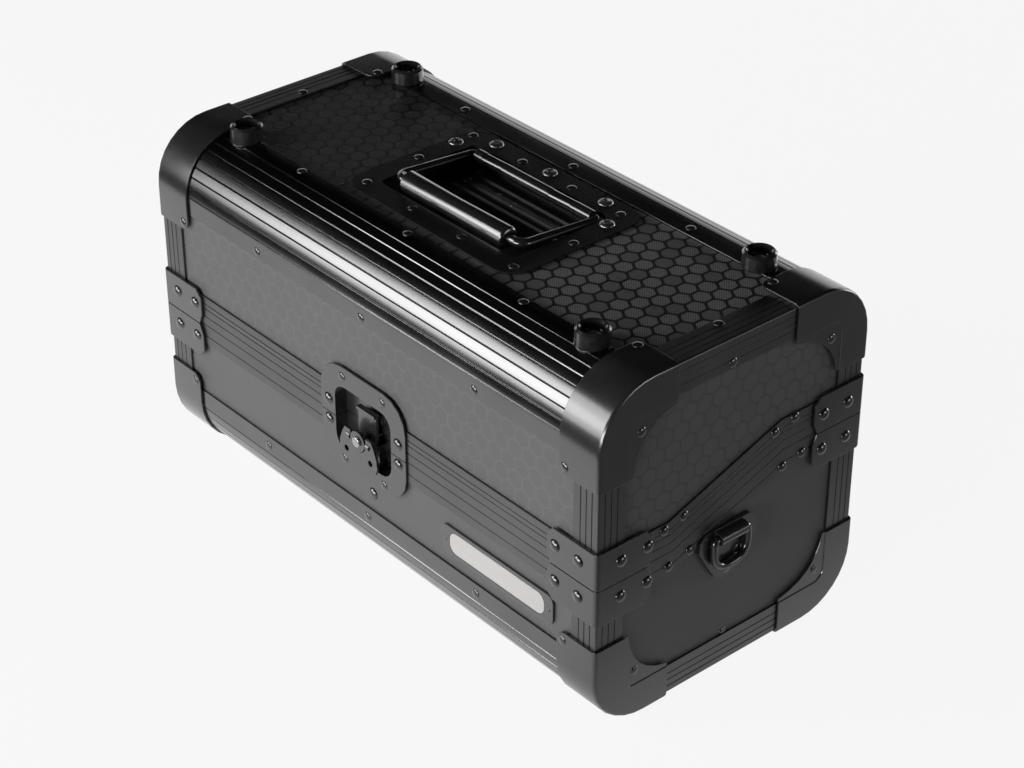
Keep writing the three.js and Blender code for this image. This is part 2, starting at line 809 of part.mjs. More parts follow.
function rod(corners, bends, radius) {
  const last = corners.length - 1;
  const stations = [{ point: corners[0], tangent: corners[1].clone().sub(corners[0]).normalize() }];
  for (let i = 1; i < last; i += 1) {
    stations.push(...bendStations(corners[i - 1], corners[i], corners[i + 1], bends[i - 1]));
  }
  stations.push({ point: corners[last], tangent: corners[last].clone().sub(corners[last - 1]).normalize() });
  const section = new THREE.Shape(circle(0, 0, radius, rodSides));
  const options = { steps: stations.length - 1, extrudePath: new RodPath(stations) };
  return toSolid(new THREE.ExtrudeGeometry(section, options));
}

// Handle, in a frame at the middle of the case's top
function handleBarrel(radius, x0, x1, sides) {
  return alongX(circle(handlePivotY, -handlePivotDrop, radius, sides), x0, x1);
}

function lugSpans() {
  return handleLugShares.map(([from, to]) => [from * handleRodHalf, to * handleRodHalf]);
}

function handleDish() {
  const top = -profileWall + handleSheet;
  const floor = top - handleDishDepth;
  const wall = handleDishWall;
  const plate = roundedRectangle(-handlePlateHalf, handlePlateFront, handlePlateHalf, handlePlateRear,
    handlePlateCorner, cornerSteps);
  const hollow = roundedRectangle(-handleOpeningHalf, handleOpeningFront, handleOpeningHalf,
    handleOpeningRear, handleOpeningCorner, cornerSteps);
  const cup = roundedRectangle(-handleOpeningHalf - wall, handleOpeningFront - wall,
    handleOpeningHalf + wall, handleOpeningRear + wall, handleOpeningCorner + wall, cornerSteps);
  const body = alongZ(plate, -profileWall, top).add(alongZ(cup, floor - wall, top));
  const dish = body.subtract(alongZ(hollow, floor, top + overrun));
  const ridgeHalf = handleOpeningHalf - handleRidgeEndGap;
  const span = handlePivotY - handleGripY;
  const ridges = handleRidgeShares.map((share) => handleGripY + span * share).map((y) => block(
    -ridgeHalf, ridgeHalf, y - handleRidgeWidth / 2, y + handleRidgeWidth / 2, floor - wall / 2,
    floor + handleRidgeHeight));
  const lugs = lugSpans().flatMap(([x0, x1]) => [
    handleBarrel(handleBarrelRadius, x0, x1, roundSides),
    block(x0, x1, handlePivotY, handleOpeningRear + wall, -profileWall, top),
  ]);
  const bore = handleBarrel(handleRodRadius + handleBarrelGap, -handleRodHalf, handleRodHalf, boreSides);
  return joined([dish, ...ridges, ...lugs]).subtract(bore);
}

function handleBail() {
  const at = (x, isFront) => new THREE.Vector3(x, isFront ? handleGripY : handlePivotY,
    isFront ? handleGripRise : -handlePivotDrop);
  const corners = [
    at(fit, false), at(handleRodHalf, false), at(handleRodHalf, true),
    at(-handleRodHalf, true), at(-handleRodHalf, false), at(-fit, false),
  ];
  const bends = [handlePivotBend, handleFrontBend, handleFrontBend, handlePivotBend];
  const spans = lugSpans();
  const sleeves = spans.slice(1).map(([next], i) => handleBarrel(
    handleBarrelRadius - fit, spans[i][1] + handleBarrelGap, next - handleBarrelGap, roundSides));
  return joined([rod(corners, bends, handleRodRadius), ...sleeves]);
}

function handleGrip() {
  const edge = handleGripEdge;
  const bore = handleRodRadius + handleBarrelGap;
  const half = handleGripHalf;
  const waist = handleGripRadius - handleGripWaist;
  const alongGrip = new THREE.Matrix4().makeBasis(axisY, axisX, axisZ.clone().negate());
  return turned([
    [bore, -half], [handleGripRadius - edge, -half], [handleGripRadius, -half + edge], [waist, 0],
    [handleGripRadius, half - edge], [handleGripRadius - edge, half], [bore, half], [bore, -half],
  ], alongGrip, roundSides);
}

// Strap ring and its plate
function ringPlate(end) {
  const out = (x) => end * (halfLength + x);
  const outline = [
    point(ringPlateHalf * ringPlateTopShare, ringPlateTop),
    ...ringPlateShares.map(([across, down]) => point(ringPlateHalf * across, ringPlateBottom * down)),
  ];
  const placed = mirrored(outline).map((p) => point(ringCentreY + p.x, ringBarHeight + p.y));
  const plate = alongX(placed, out(-profileWall), out(ringPlateOut));
  const r = ringBlockRadius;
  const nose = [point(0, r), point(0, -r), ...arc(ringBarOut, 0, r, -Math.PI / 2, Math.PI / 2, 2 * cornerSteps)];
  const holder = alongY(nose.map((p) => point(out(p.x), ringBarHeight + p.y)),
    ringCentreY - ringBlockHalf, ringCentreY + ringBlockHalf);
  const bore = alongY(circle(out(ringBarOut), ringBarHeight, ringRodRadius + ringBoreGap, boreSides),
    -halfDepth, halfDepth);
  const band = aboveSeam(-baseBandWidth - fit).intersect(slab(0, out(fit)));
  return cut(plate.add(holder), [bore, band]);
}

function strapRing() {
  const corners = [
    [fit, 0], [ringHalfWidth, 0], [ringHalfWidth, -ringDrop],
    [-ringHalfWidth, -ringDrop], [-ringHalfWidth, 0], [-fit, 0],
  ].map(([y, z]) => new THREE.Vector3(0, y, z));
  return rod(corners, [ringTopBend, ringBottomBend, ringBottomBend, ringTopBend], ringRodRadius);
}

// Feet: flared rubber cups whose underside follows the rounded edge of the lid
function rubberFoot(end, side) {
  const upward = new THREE.Matrix4().makeBasis(axisX, axisZ, axisY.clone().negate());
  const inset = side < 0 ? shortLeg - footFrontLap : longLeg - footRearLap;
  upward.setPosition(cornerX(end, footEndInset), cornerY(side, inset), caseHeight);
  const cup = turned([
    [0, -footSkirt], [footRadius + footFlare, -footSkirt], [footRadius + footFlare, 0],
    [footRadius, footHeight - footLip], [footRadius - footLip, footHeight],
    [footCupRadius + footLip, footHeight], [footCupRadius, footHeight - footLip],
    [footCupRadius, footHeight - footCupDepth], [0, footHeight - footCupDepth],
  ], upward, roundSides);
  return cup.subtract(envelope(-fit));
}

// Badge: a frame let over the front panel, with a bare plate in its recess
function badge(halfX, halfZ, radius, y0, y1) {
  const x = halfLength - badgeEndInset;
  const z = (longLeg + seamFrontHeight - baseBandWidth) / 2 - badgeSag;
  return alongY(roundedRectangle(x - halfX, z - halfZ, x + halfX, z + halfZ, radius, cornerSteps), y0, y1);
}

function badgeFrame() {
  const back = cornerY(-1, panelSkin - fit);
  const face = back - badgeSheet;
  const recess = badge(insertHalfLength + fit, insertHalfHeight + fit, insertCorner + fit, face - overrun,
    face + insertSheet + fit);
  return badge(badgeHalfLength, badgeHalfHeight, badgeCorner, face, back).subtract(recess);
}

function badgeInsert() {
  const face = cornerY(-1, panelSkin - fit) - badgeSheet;
  return badge(insertHalfLength, insertHalfHeight, insertCorner, face, face + insertSheet);
}

// Assembly
const recordCase = new THREE.Group();
const base = new THREE.Group();
const lid = new THREE.Group();
const latch = new THREE.Group();
const latchOnLid = new THREE.Group();
const handle = new THREE.Group();
const hinge = new THREE.Group();
const hingeOnLid = new THREE.Group();
recordCase.position.z = capProud;
recordCase.add(base, lid);
base.add(latch, hinge);
lid.add(latchOnLid, hingeOnLid, handle);
latch.position.set(0, -halfDepth, latchAxisHeight);
latchOnLid.position.copy(latch.position);
hinge.position.set(0, halfDepth + hingeAxisOffset, seamRearHeight + seamGap / 2);
hingeOnLid.position.copy(hinge.position);
handle.position.z = caseHeight;

function add(group, name, solid, finish) {
  const mesh = new THREE.Mesh(toGeometry(solid), new THREE.MeshStandardMaterial(finish));
  mesh.name = name;
  group.add(mesh);
  return mesh;
}

const lidPanelEdge = tongueRoof + profileWall + fit;
const basePanelEdge = profileWall + fit;
const lidFrontPanel = upright(-1, seamFrontHeight + lidPanelEdge, caseHeight - longStop - fit);
const lidRearPanel = upright(1, seamRearHeight + lidPanelEdge, caseHeight - shortStop - fit);
const baseFrontPanel = upright(-1, longStop + fit, seamFrontHeight - basePanelEdge);
const baseRearPanel = upright(1, shortStop + fit, seamRearHeight - basePanelEdge);
const topPanel = flatPanel(caseHeight - panelSkin - panelThickness);

add(base, 'base_floor_panel', flatPanel(panelSkin), laminate);
add(base, 'base_front_panel', baseFrontPanel.subtract(latchCutout()), laminate);
add(base, 'base_rear_panel', baseRearPanel, laminate);
add(lid, 'lid_top_panel', topPanel.subtract(handleCutout()), laminate);
add(lid, 'lid_front_panel', lidFrontPanel.subtract(latchCutout()), laminate);
add(lid, 'lid_rear_panel', lidRearPanel, laminate);
add(base, 'base_closing_frame', baseClosingFrame(), anodised);
add(lid, 'lid_closing_frame', lidClosingFrame(), anodised);

for (const [side, sideName] of [[-1, 'front'], [1, 'rear']]) {
  add(base, `base_${sideName}_profile`, longProfile(side, -1), anodised);
  add(lid, `lid_${sideName}_profile`, longProfile(side, 1), anodised);
}

for (const [end, endName] of [[-1, 'left'], [1, 'right']]) {
  add(base, `base_${endName}_panel`, endPanel(end, belowSeam(-basePanelEdge)), laminate);
  add(lid, `lid_${endName}_panel`, endPanel(end, aboveSeam(lidPanelEdge)), laminate);
  add(base, `base_${endName}_end_frame`, endFrame(end, belowSeam(-baseBandWidth - fit)), anodised);
  add(lid, `lid_${endName}_end_frame`, endFrame(end, aboveSeam(lidBandWidth + fit)), anodised);
  add(base, `${endName}_ring_plate`, ringPlate(end), pressed);
  const ring = add(base, `${endName}_ring`, strapRing(), gloss);
  ring.position.set(end * (halfLength + ringBarOut), ringCentreY, ringBarHeight);
  for (const [side, sideName] of [[-1, 'front'], [1, 'rear']]) {
    const corner = `${sideName}_${endName}`;
    add(base, `base_${corner}_cap`, cornerCap(end, side, -1), pressed);
    add(lid, `lid_${corner}_cap`, cornerCap(end, side, 1), pressed);
    add(base, `base_${corner}_seam_plate`, seamPlate(end, side, false), pressed);
    add(lid, `lid_${corner}_seam_plate`, seamPlate(end, side, true), pressed);
    add(lid, `${corner}_foot`, rubberFoot(end, side), rubber);
  }
}

add(base, 'badge_frame', badgeFrame(), pressed);
add(base, 'badge_insert', badgeInsert(), bare);
add(latch, 'latch_base_dish', latchBaseDish(), pressed);
add(latchOnLid, 'latch_lid_dish', latchLidDish(), pressed);
add(latchOnLid, 'latch_keeper', latchKeeper(), pressed);
add(latch, 'latch_turner', latchTurner(), steel);
add(latch, 'latch_wing', latchWing(), steel);
add(latch, 'latch_hook', latchHook(), steel);
add(hinge, 'hinge_base_leaf', hingeLeaf(false), anodised);
add(hingeOnLid, 'hinge_lid_leaf', hingeLeaf(true), anodised);
add(hinge, 'hinge_pin', hingePin(), steel);
add(handle, 'handle_dish', handleDish(), pressed);
add(handle, 'handle_bail', handleBail(), gloss);
const grip = add(handle, 'handle_grip', handleGrip(), gloss);
grip.position.set(0, handleGripY, handleGripRise);

export default recordCase;
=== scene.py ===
"""The looks of a record case for seven-inch singles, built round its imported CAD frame.

X runs along the case, the front faces -Y and Z is up. Sizes in the classes are millimetres on the
case itself, whose own zero lies a little above the floor, and pieces are made in metres.
"""

import json
import logging
import math
from collections.abc import Iterable, Mapping, Sequence
from dataclasses import dataclass, field, replace
from enum import Enum
from typing import Any, TypeAlias

import bpy
from bpy.types import ID, Material, Node, NodeSocket, NodeTree, Object
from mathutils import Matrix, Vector
from mathutils.bvhtree import BVHTree

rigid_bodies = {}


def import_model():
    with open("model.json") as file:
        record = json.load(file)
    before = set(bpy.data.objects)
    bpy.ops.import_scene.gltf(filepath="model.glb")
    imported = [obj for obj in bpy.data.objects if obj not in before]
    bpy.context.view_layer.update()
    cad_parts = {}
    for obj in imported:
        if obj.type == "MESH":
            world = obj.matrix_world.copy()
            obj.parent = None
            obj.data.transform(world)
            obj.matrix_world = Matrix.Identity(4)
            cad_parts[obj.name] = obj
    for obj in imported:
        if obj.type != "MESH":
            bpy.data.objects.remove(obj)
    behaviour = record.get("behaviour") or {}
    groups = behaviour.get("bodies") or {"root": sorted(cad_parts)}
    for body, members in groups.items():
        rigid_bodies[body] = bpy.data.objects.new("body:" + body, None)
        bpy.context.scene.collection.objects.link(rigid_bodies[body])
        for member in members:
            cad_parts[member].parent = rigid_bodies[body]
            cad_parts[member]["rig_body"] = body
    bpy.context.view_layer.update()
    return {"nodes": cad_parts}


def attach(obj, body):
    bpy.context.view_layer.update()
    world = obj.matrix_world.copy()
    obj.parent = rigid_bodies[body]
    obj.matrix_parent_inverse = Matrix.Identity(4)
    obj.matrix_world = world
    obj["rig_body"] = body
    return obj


LOG = logging.getLogger("record_case")
MM = 0.001
CASE_LIFT = 1.7
CASE_LENGTH = 430.0
CASE_DEPTH = 215.0
CASE_HEIGHT = 235.0
EDGE_RADIUS = 39.4
PANEL_MIDDLE = 5.0
RAY_REACH = 400.0
FULL_TURN = 2 * math.pi

Number: TypeAlias = "Signal | float"
Pair: TypeAlias = tuple[float, float]
Triple: TypeAlias = tuple[float, float, float]
Places: TypeAlias = tuple[Pair, ...]

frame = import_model()


def at(x: float, y: float, z: float) -> Vector:
    """A place on the case, from millimetres to the frame's metres."""
    return Vector((x, y, z + CASE_LIFT)) * MM


def new_object(name: str, data: ID) -> Object:
    """Adds an object to the scene.

    Args:
        name: Its name.
        data: Its mesh, lamp or camera.

    Returns:
        The new object.
    """
    made = bpy.data.objects.new(name, data)
    bpy.context.scene.collection.objects.link(made)
    return made


# Node trees


@dataclass(frozen=True, eq=False)
class Signal:
    """A number that changes over a surface: one socket with arithmetic on it."""

    bench: "NodeBench"
    socket: NodeSocket

    def __add__(self, other: Number) -> "Signal":
        """This plus other."""
        return self.bench.math("ADD", self, other)

    __radd__ = __add__

    def __sub__(self, other: Number) -> "Signal":
        """This less other."""
        return self.bench.math("SUBTRACT", self, other)

    def __rsub__(self, other: float) -> "Signal":
        """Other less this."""
        return self.bench.math("SUBTRACT", other, self)

    def __mul__(self, other: Number) -> "Signal":
        """This times other."""
        return self.bench.math("MULTIPLY", self, other)

    __rmul__ = __mul__

    def __truediv__(self, other: Number) -> "Signal":
        """This over other."""
        return self.bench.math("DIVIDE", self, other)

    def __abs__(self) -> "Signal":
        """The size of this without its sign."""
        return self.bench.math("ABSOLUTE", self)

    def __gt__(self, other: Number) -> "Signal":
        """One where this is above other, and nought elsewhere."""
        return self.bench.math("GREATER_THAN", self, other)


@dataclass
class NodeBench:
    """Adds nodes to one tree of shader or geometry nodes."""

    tree: NodeTree

    def node(
        self,
        kind: str,
        settings: Mapping[str, Any] | None = None,
        values: Mapping[str | int, Any] | None = None,
    ) -> Node:
        """Adds one node.

        Args:
            kind: Blender's name for the node's type.
            settings: The node's own settings, which are set first.
            values: A number or a link for each named or numbered socket.

        Returns:
            The new node.
        """
        made = self.tree.nodes.new(kind)
        for name, value in (settings or {}).items():
            setattr(made, name, value)
        for key, value in (values or {}).items():
            self.feed(made.inputs[key], value)
        return made

    def feed(self, socket: NodeSocket, value: Any) -> None:
        """Gives a socket a link or a constant.

        Args:
            socket: The input to fill.
            value: A Signal, a socket or a constant.
        """
        source = value.socket if isinstance(value, Signal) else value
        if isinstance(source, NodeSocket):
            self.tree.links.new(source, socket)
        else:
            socket.default_value = source

    def signal(self, made: Node, output: str | int = 0) -> Signal:
        """One output of a node as a Signal."""
        return Signal(self, made.outputs[output])

    def math(self, operation: str, *terms: Number) -> Signal:
        """Adds a Math node on up to three terms."""
        return self.signal(self.node("ShaderNodeMath", {"operation": operation}, dict(enumerate(terms))))

    def lowest(self, first: Number, second: Number) -> Signal:
        """The smaller of two values."""
        return self.math("MINIMUM", first, second)

    def highest(self, first: Number, second: Number) -> Signal:
        """The larger of two values."""
        return self.math("MAXIMUM", first, second)

    def step(self, value: Signal, low: float, high: float) -> Signal:
        """A smooth rise from nought at low to one at high."""
        values = {"Value": value, "From Min": low, "From Max": high}
        return self.signal(self.node("ShaderNodeMapRange", {"interpolation_type": "SMOOTHSTEP"}, values))

    def split(self, vector: NodeSocket) -> tuple[Signal, Signal, Signal]:
        """The three parts of a vector."""
        made = self.node("ShaderNodeSeparateXYZ", values={"Vector": vector})
        return self.signal(made, 0), self.signal(made, 1), self.signal(made, 2)

    def vector_math(self, operation: str, *terms: Any) -> Node:
        """Adds a Vector Math node on its first terms."""
        return self.node("ShaderNodeVectorMath", {"operation": operation}, dict(enumerate(terms)))

    def vector(self, x: Number, y: Number, z: Number) -> NodeSocket:
        """A vector made of three parts."""
        return self.node("ShaderNodeCombineXYZ", values={0: x, 1: y, 2: z}).outputs[0]


def grey(tone: float, warmth: float = 0.0) -> tuple[float, float, float, float]:
    """A near-neutral colour.

    Args:
        tone: Linear brightness from 0 to 1.
        warmth: How far red rises and blue falls, as a share of the tone.

    Returns:
        Red, green, blue and alpha.
    """
    return tone * (1 + warmth), tone, tone * (1 - warmth), 1.0


class Run(Enum):
    """How much longer the marks on a surface are along each axis."""

    LENGTH = (60.0, 1.0, 1.0)
    NONE = (1.0, 1.0, 1.0)


class SurfaceBench(NodeBench):
    """Adds shader nodes to one material and feeds its surface."""

    def __init__(self, material: Material) -> None:
        """Empties the material and gives it a surface.

        Args:
            material: The material to paint.
        """
        material.use_nodes = True
        super().__init__(material.node_tree)
        self.tree.nodes.clear()
        self.surface = self.node("ShaderNodeBsdfPrincipled")
        self.node("ShaderNodeOutputMaterial", values={"Surface": self.surface.outputs[0]})
        place = self.node("ShaderNodeTexCoord").outputs["Object"]
        scaled = self.node("ShaderNodeVectorMath", {"operation": "SCALE"}, {0: place, "Scale": 1 / MM})
        self.place = scaled.outputs[0]

    def set(self, **constants: float) -> None:
        """Sets sockets of the surface that are the same all over it."""
        for name, value in constants.items():
            self.surface.inputs[name.replace("_", " ")].default_value = value

    def paint(self, name: str, value: Any) -> None:
        """Feeds one varying socket of the surface."""
        self.feed(self.surface.inputs[name], value)

    def tint(self, tone: float, share: Signal, warmth: float = 0.0) -> None:
        """Feeds a near-neutral colour to the surface.

        Args:
            tone: Its linear brightness where the share is a half.
            share: Brightness from place to place, as a share of twice the tone.
            warmth: How far red rises and blue falls, as a share of the tone.
        """
        colours = {0: share, 6: grey(0.0), 7: grey(tone * 2, warmth)}
        self.paint("Base Color", self.node("ShaderNodeMix", {"data_type": "RGBA"}, colours).outputs[2])

    def noise(self, size: float, detail: float = 2.0, run: Run = Run.NONE) -> Signal:
        """Soft noise from 0 to 1.

        Args:
            size: The size of its patches in millimetres.
            detail: How many finer layers it has.
            run: The way that the patches are stretched.

        Returns:
            The noise.
        """
        place = self.vector_math("DIVIDE", self.place, run.value).outputs[0]
        values = {"Vector": place, "Scale": 1 / size, "Detail": detail}
        return self.signal(self.node("ShaderNodeTexNoise", values=values))

    def relief(self, height: Signal, depth: float) -> None:
        """Gives the surface fine relief.

        Args:
            height: The height from 0 to 1.
            depth: The height in millimetres that one stands for.
        """
        values = {"Distance": depth * MM, "Height": height}
        self.paint("Normal", self.node("ShaderNodeBump", values=values).outputs[0])


# Finishes


@dataclass(frozen=True)
class Finish:
    """A finish with a name, which makes one material."""

    name: str

    def material(self) -> Material:
        """The material of this finish.

        Returns:
            The material, made once.
        """
        made = bpy.data.materials.get(self.name)
        if made is None:
            made = bpy.data.materials.new(self.name)
            self.paint(SurfaceBench(made))
        return made

    def paint(self, bench: SurfaceBench) -> None:
        """Paints the surface; each kind of finish has its own way.

        Args:
            bench: The bench of the finish's material.
        """
        raise NotImplementedError


class Plane(Enum):
    """The plane of a flat pattern: its two axes, the axis across it and the case's face there."""

    TOP = (0, 1, 2, CASE_HEIGHT + CASE_LIFT)
    FRONT = (0, 2, 1, CASE_DEPTH / 2)
    END = (1, 2, 0, CASE_LENGTH / 2)


@dataclass(frozen=True)
class Laminate(Finish):
    """Hard laminate on the base panels: charcoal with a fine pressed grain."""

    tone: float = 0.107
    roughness: float = 0.46
    specular: float = 0.25
    cloud_size: float = 90.0
    cloud_spread: float = 0.12
    speck_size: float = 1.3
    speck_spread: float = 0.192
    wear_size: float = 22.0
    wear_spread: float = 0.12
    grain_size: float = 0.55
    grain_depth: float = 0.03
    grain_gloss: float = 0.05

    def shade(self, bench: SurfaceBench) -> Signal:
        """How light the laminate is from place to place, about one."""
        cloud = (bench.noise(self.cloud_size) - 0.5) * self.cloud_spread
        return 1 + cloud + (bench.noise(self.speck_size, 3.0) - 0.5) * self.speck_spread

    def finish_off(self, bench: SurfaceBench, light: Signal, smooth: Signal, height: Signal) -> None:
        """Feeds tone, gloss and relief to the surface.

        Args:
            bench: The material's bench.
            light: Brightness as a share of the tone.
            smooth: How much glossier than the rest a place is.
            height: Relief from 0 to 1.
        """
        bench.tint(self.tone, light * 0.5)
        wear = bench.noise(self.wear_size, 4.0) - 0.5
        bench.paint("Roughness", self.roughness + wear * self.wear_spread - smooth)
        bench.set(Specular_IOR_Level=self.specular)
        bench.relief(height, self.grain_depth)

    def paint(self, bench: SurfaceBench) -> None:
        """Plain laminate with its grain."""
        grain = bench.noise(self.grain_size)
        self.finish_off(bench, self.shade(bench), grain * self.grain_gloss, grain)


@dataclass(frozen=True)
class Honeycomb(Laminate):
    """Laminate of the lid panels, printed outside with hexagons, most of them hatched."""

    plane: Plane = Plane.TOP
    pitch: float = 12.3
    origin: Pair = (0.0, 0.0)
    corner: float = 6.6
    cell_rise: float = 0.6
    gap: float = 0.75
    gap_blur: float = 0.15
    gap_tone: float = 0.3
    line_pitch: float = 1.36
    line_edge: Pair = (-0.2, 0.7)
    line_tone: float = 0.9
    line_rise: float = 0.5
    line_gloss: float = 0.06
    grain_rise: float = 0.25
    plain_share: float = 0.28
    seed: float = 3.0
    # Painted shade: the print outside dims towards the left end of the case, standing in for how the light
    # fell on it.
    painted_shade_edge: Pair = (-110.0, 110.0)
    painted_shade_share: float = 0.0

    def lattice(self, bench: SurfaceBench, u: Signal, v: Signal, shift: float) -> tuple[Signal, ...]:
        """One of the two square lattices of cell middles.

        Args:
            bench: The material's bench.
            u: Place along the rows.
            v: Place across the rows.
            shift: Half a cell for the second lattice.

        Returns:
            The way to the nearest middle along u and v, and its two numbers.
        """
        rise = self.pitch * math.sqrt(3)
        column = bench.math("ROUND", u / self.pitch - shift) + shift
        row = bench.math("ROUND", v / rise - shift) + shift
        return u - column * self.pitch, v - row * rise, column, row

    def cells(self, bench: SurfaceBench, u: Signal, v: Signal) -> tuple[Signal, Signal]:
        """The honeycomb itself.

        Args:
            bench: The material's bench.
            u: Place along the rows.
            v: Place across the rows.

        Returns:
            One inside the cells and nought in their gaps, and one in each cell that is hatched.
        """
        near, far = (self.lattice(bench, u, v, shift) for shift in (0.0, 0.5))
        reach = [part[0] * part[0] + part[1] * part[1] for part in (near, far)]
        pick = reach[1] > reach[0]
        across, along, column, row = (b + pick * (a - b) for a, b in zip(near, far))
        width, height = abs(across), abs(along)
        hexagon = bench.highest(width, width * 0.5 + height * (math.sqrt(3) / 2))
        length = bench.math("SQRT", across * across + along * along)
        inside = bench.lowest(self.pitch / 2 - hexagon, self.corner - length)
        cell = bench.step(inside, self.gap - self.gap_blur, self.gap + self.gap_blur)
        place = bench.vector(column, row, self.seed)
        chance = bench.node("ShaderNodeTexWhiteNoise", {"noise_dimensions": "3D"}, {"Vector": place})
        return cell, bench.signal(chance) > self.plain_share

    def paint(self, bench: SurfaceBench) -> None:
        """Hexagons with their gaps, hatching on most cells, the grain, and painted shade that dims the print
        towards the left end.

        Args:
            bench: The material's bench.
        """
        axes = bench.split(bench.place)
        first, second, depth, face = self.plane.value
        u, v = axes[first] - self.origin[0], axes[second] - self.origin[1]
        outside = abs(axes[depth]) > face - PANEL_MIDDLE
        cell, hatched = self.cells(bench, u, v)
        cell = 1 - (1 - cell) * outside
        wave = bench.math("SINE", (u + v) * (FULL_TURN / self.line_pitch / math.sqrt(2)))
        line = bench.step(wave, *self.line_edge) * hatched * cell * outside
        # Painted shade: a share of the outside print is dimmed towards the left end.
        painted_shade = 1 - bench.step(axes[0], *self.painted_shade_edge)
        shaded_print = 1 - painted_shade * outside * self.painted_shade_share
        light = self.gap_tone + (1 - self.gap_tone) * cell * shaded_print + line * shaded_print * self.line_tone
        grain = bench.noise(self.grain_size)
        relief = cell * self.cell_rise + line * self.line_rise + grain * self.grain_rise
        self.finish_off(bench, self.shade(bench) * light, line * self.line_gloss, relief)


@dataclass(frozen=True)
class Metal(Finish):
    """Metal with fine marks and clouds in its polish, by default a black anodised profile."""

    tone: float = 0.15
    warmth: float = 0.0
    roughness: float = 0.21
    run: Run = Run.LENGTH
    mark_size: float = 0.5
    mark_tone: float = 0.084
    mark_gloss: float = 0.084
    mark_depth: float = 0.0004
    cloud_size: float = 45.0
    cloud_detail: float = 3.0
    cloud_tone: float = 0.16
    cloud_gloss: float = 0.08

    def paint(self, bench: SurfaceBench) -> None:
        """Metal whose tone and gloss vary in marks and in clouds, with the marks as relief.

        Args:
            bench: The material's bench.
        """
        marks = bench.noise(self.mark_size, 3.0, self.run)
        mark = marks - 0.5
        cloud = bench.noise(self.cloud_size, self.cloud_detail) - 0.5
        bench.tint(self.tone, 0.5 + mark * self.mark_tone + cloud * self.cloud_tone, self.warmth)
        bench.paint("Roughness", self.roughness + mark * self.mark_gloss + cloud * self.cloud_gloss)
        bench.set(Metallic=1.0)
        bench.relief(marks, self.mark_depth)


@dataclass(frozen=True)
class BareMetal(Metal):
    """Bright steel with fine scratches."""

    tone: float = 0.55
    warmth: float = 0.015
    roughness: float = 0.22
    run: Run = Run.NONE
    mark_size: float = 0.25
    mark_tone: float = 0.1
    mark_gloss: float = 0.2
    mark_depth: float = 0.004
    cloud_size: float = 6.0
    cloud_detail: float = 2.0
    cloud_tone: float = 0.2
    cloud_gloss: float = 0.0


@dataclass(frozen=True)
class PaintedSteel(Finish):
    """Black satin paint on pressed steel, with fine orange peel and rubbed patches."""

    tone: float = 0.018
    roughness: float = 0.36
    specular: float = 1.0
    coat: float = 0.3
    coat_roughness: float = 0.12
    peel_size: float = 0.9
    peel_depth: float = 0.002
    cloud_size: float = 30.0
    cloud_tone: float = 0.2
    cloud_gloss: float = 0.16
    speck_size: float = 2.2
    speck_share: float = 0.3
    rub_edge: Pair = (0.68, 0.9)
    rub_tone: float = 0.25
    rub_gloss: float = 0.05

    def paint(self, bench: SurfaceBench) -> None:
        """Paint whose tone and gloss vary in clouds, with the peel as relief.

        Args:
            bench: The material's bench.
        """
        peel = bench.noise(self.peel_size, 1.0)
        cloud = bench.noise(self.cloud_size, 4.0)
        speck = bench.noise(self.speck_size, 4.0)
        rubbed = bench.step(cloud + speck * self.speck_share, *self.rub_edge)
        cloud = cloud - 0.5
        bench.tint(self.tone, 0.5 + cloud * self.cloud_tone + rubbed * self.rub_tone)
        bench.paint("Roughness", self.roughness + cloud * self.cloud_gloss - rubbed * self.rub_gloss)
        bench.paint("Coat Weight", self.coat - rubbed * (self.coat / 2))
        bench.set(Specular_IOR_Level=self.specular, Coat_Roughness=self.coat_roughness)
        bench.relief(peel, self.peel_depth)


@dataclass(frozen=True)
class Gloss(Finish):
    """Smooth gloss black, as on the grip, the rods and the rubber feet."""

    tone: float = 0.012
    roughness: float = 0.2
    specular: float = 1.0
    coat: float = 0.5
    coat_roughness: float = 0.14
    smear_size: float = 14.0
    smear_tone: float = 0.4
    smear_gloss: float = 0.14
    pit_size: float = 1.6
    pit_gloss: float = 0.06
    pit_depth: float = 0.001

    def paint(self, bench: SurfaceBench) -> None:
        """Black with faint smears in its gloss.

        Args:
            bench: The material's bench.
        """
        smear = bench.noise(self.smear_size, 3.0) - 0.5
        pits = bench.noise(self.pit_size)
        bench.tint(self.tone, 0.5 + smear * self.smear_tone)
        gloss = self.roughness + smear * self.smear_gloss + (pits - 0.5) * self.pit_gloss
        bench.paint("Roughness", gloss)
        bench.set(Specular_IOR_Level=self.specular)
        bench.set(Coat_Weight=self.coat, Coat_Roughness=self.coat_roughness)
        bench.relief(pits, self.pit_depth)


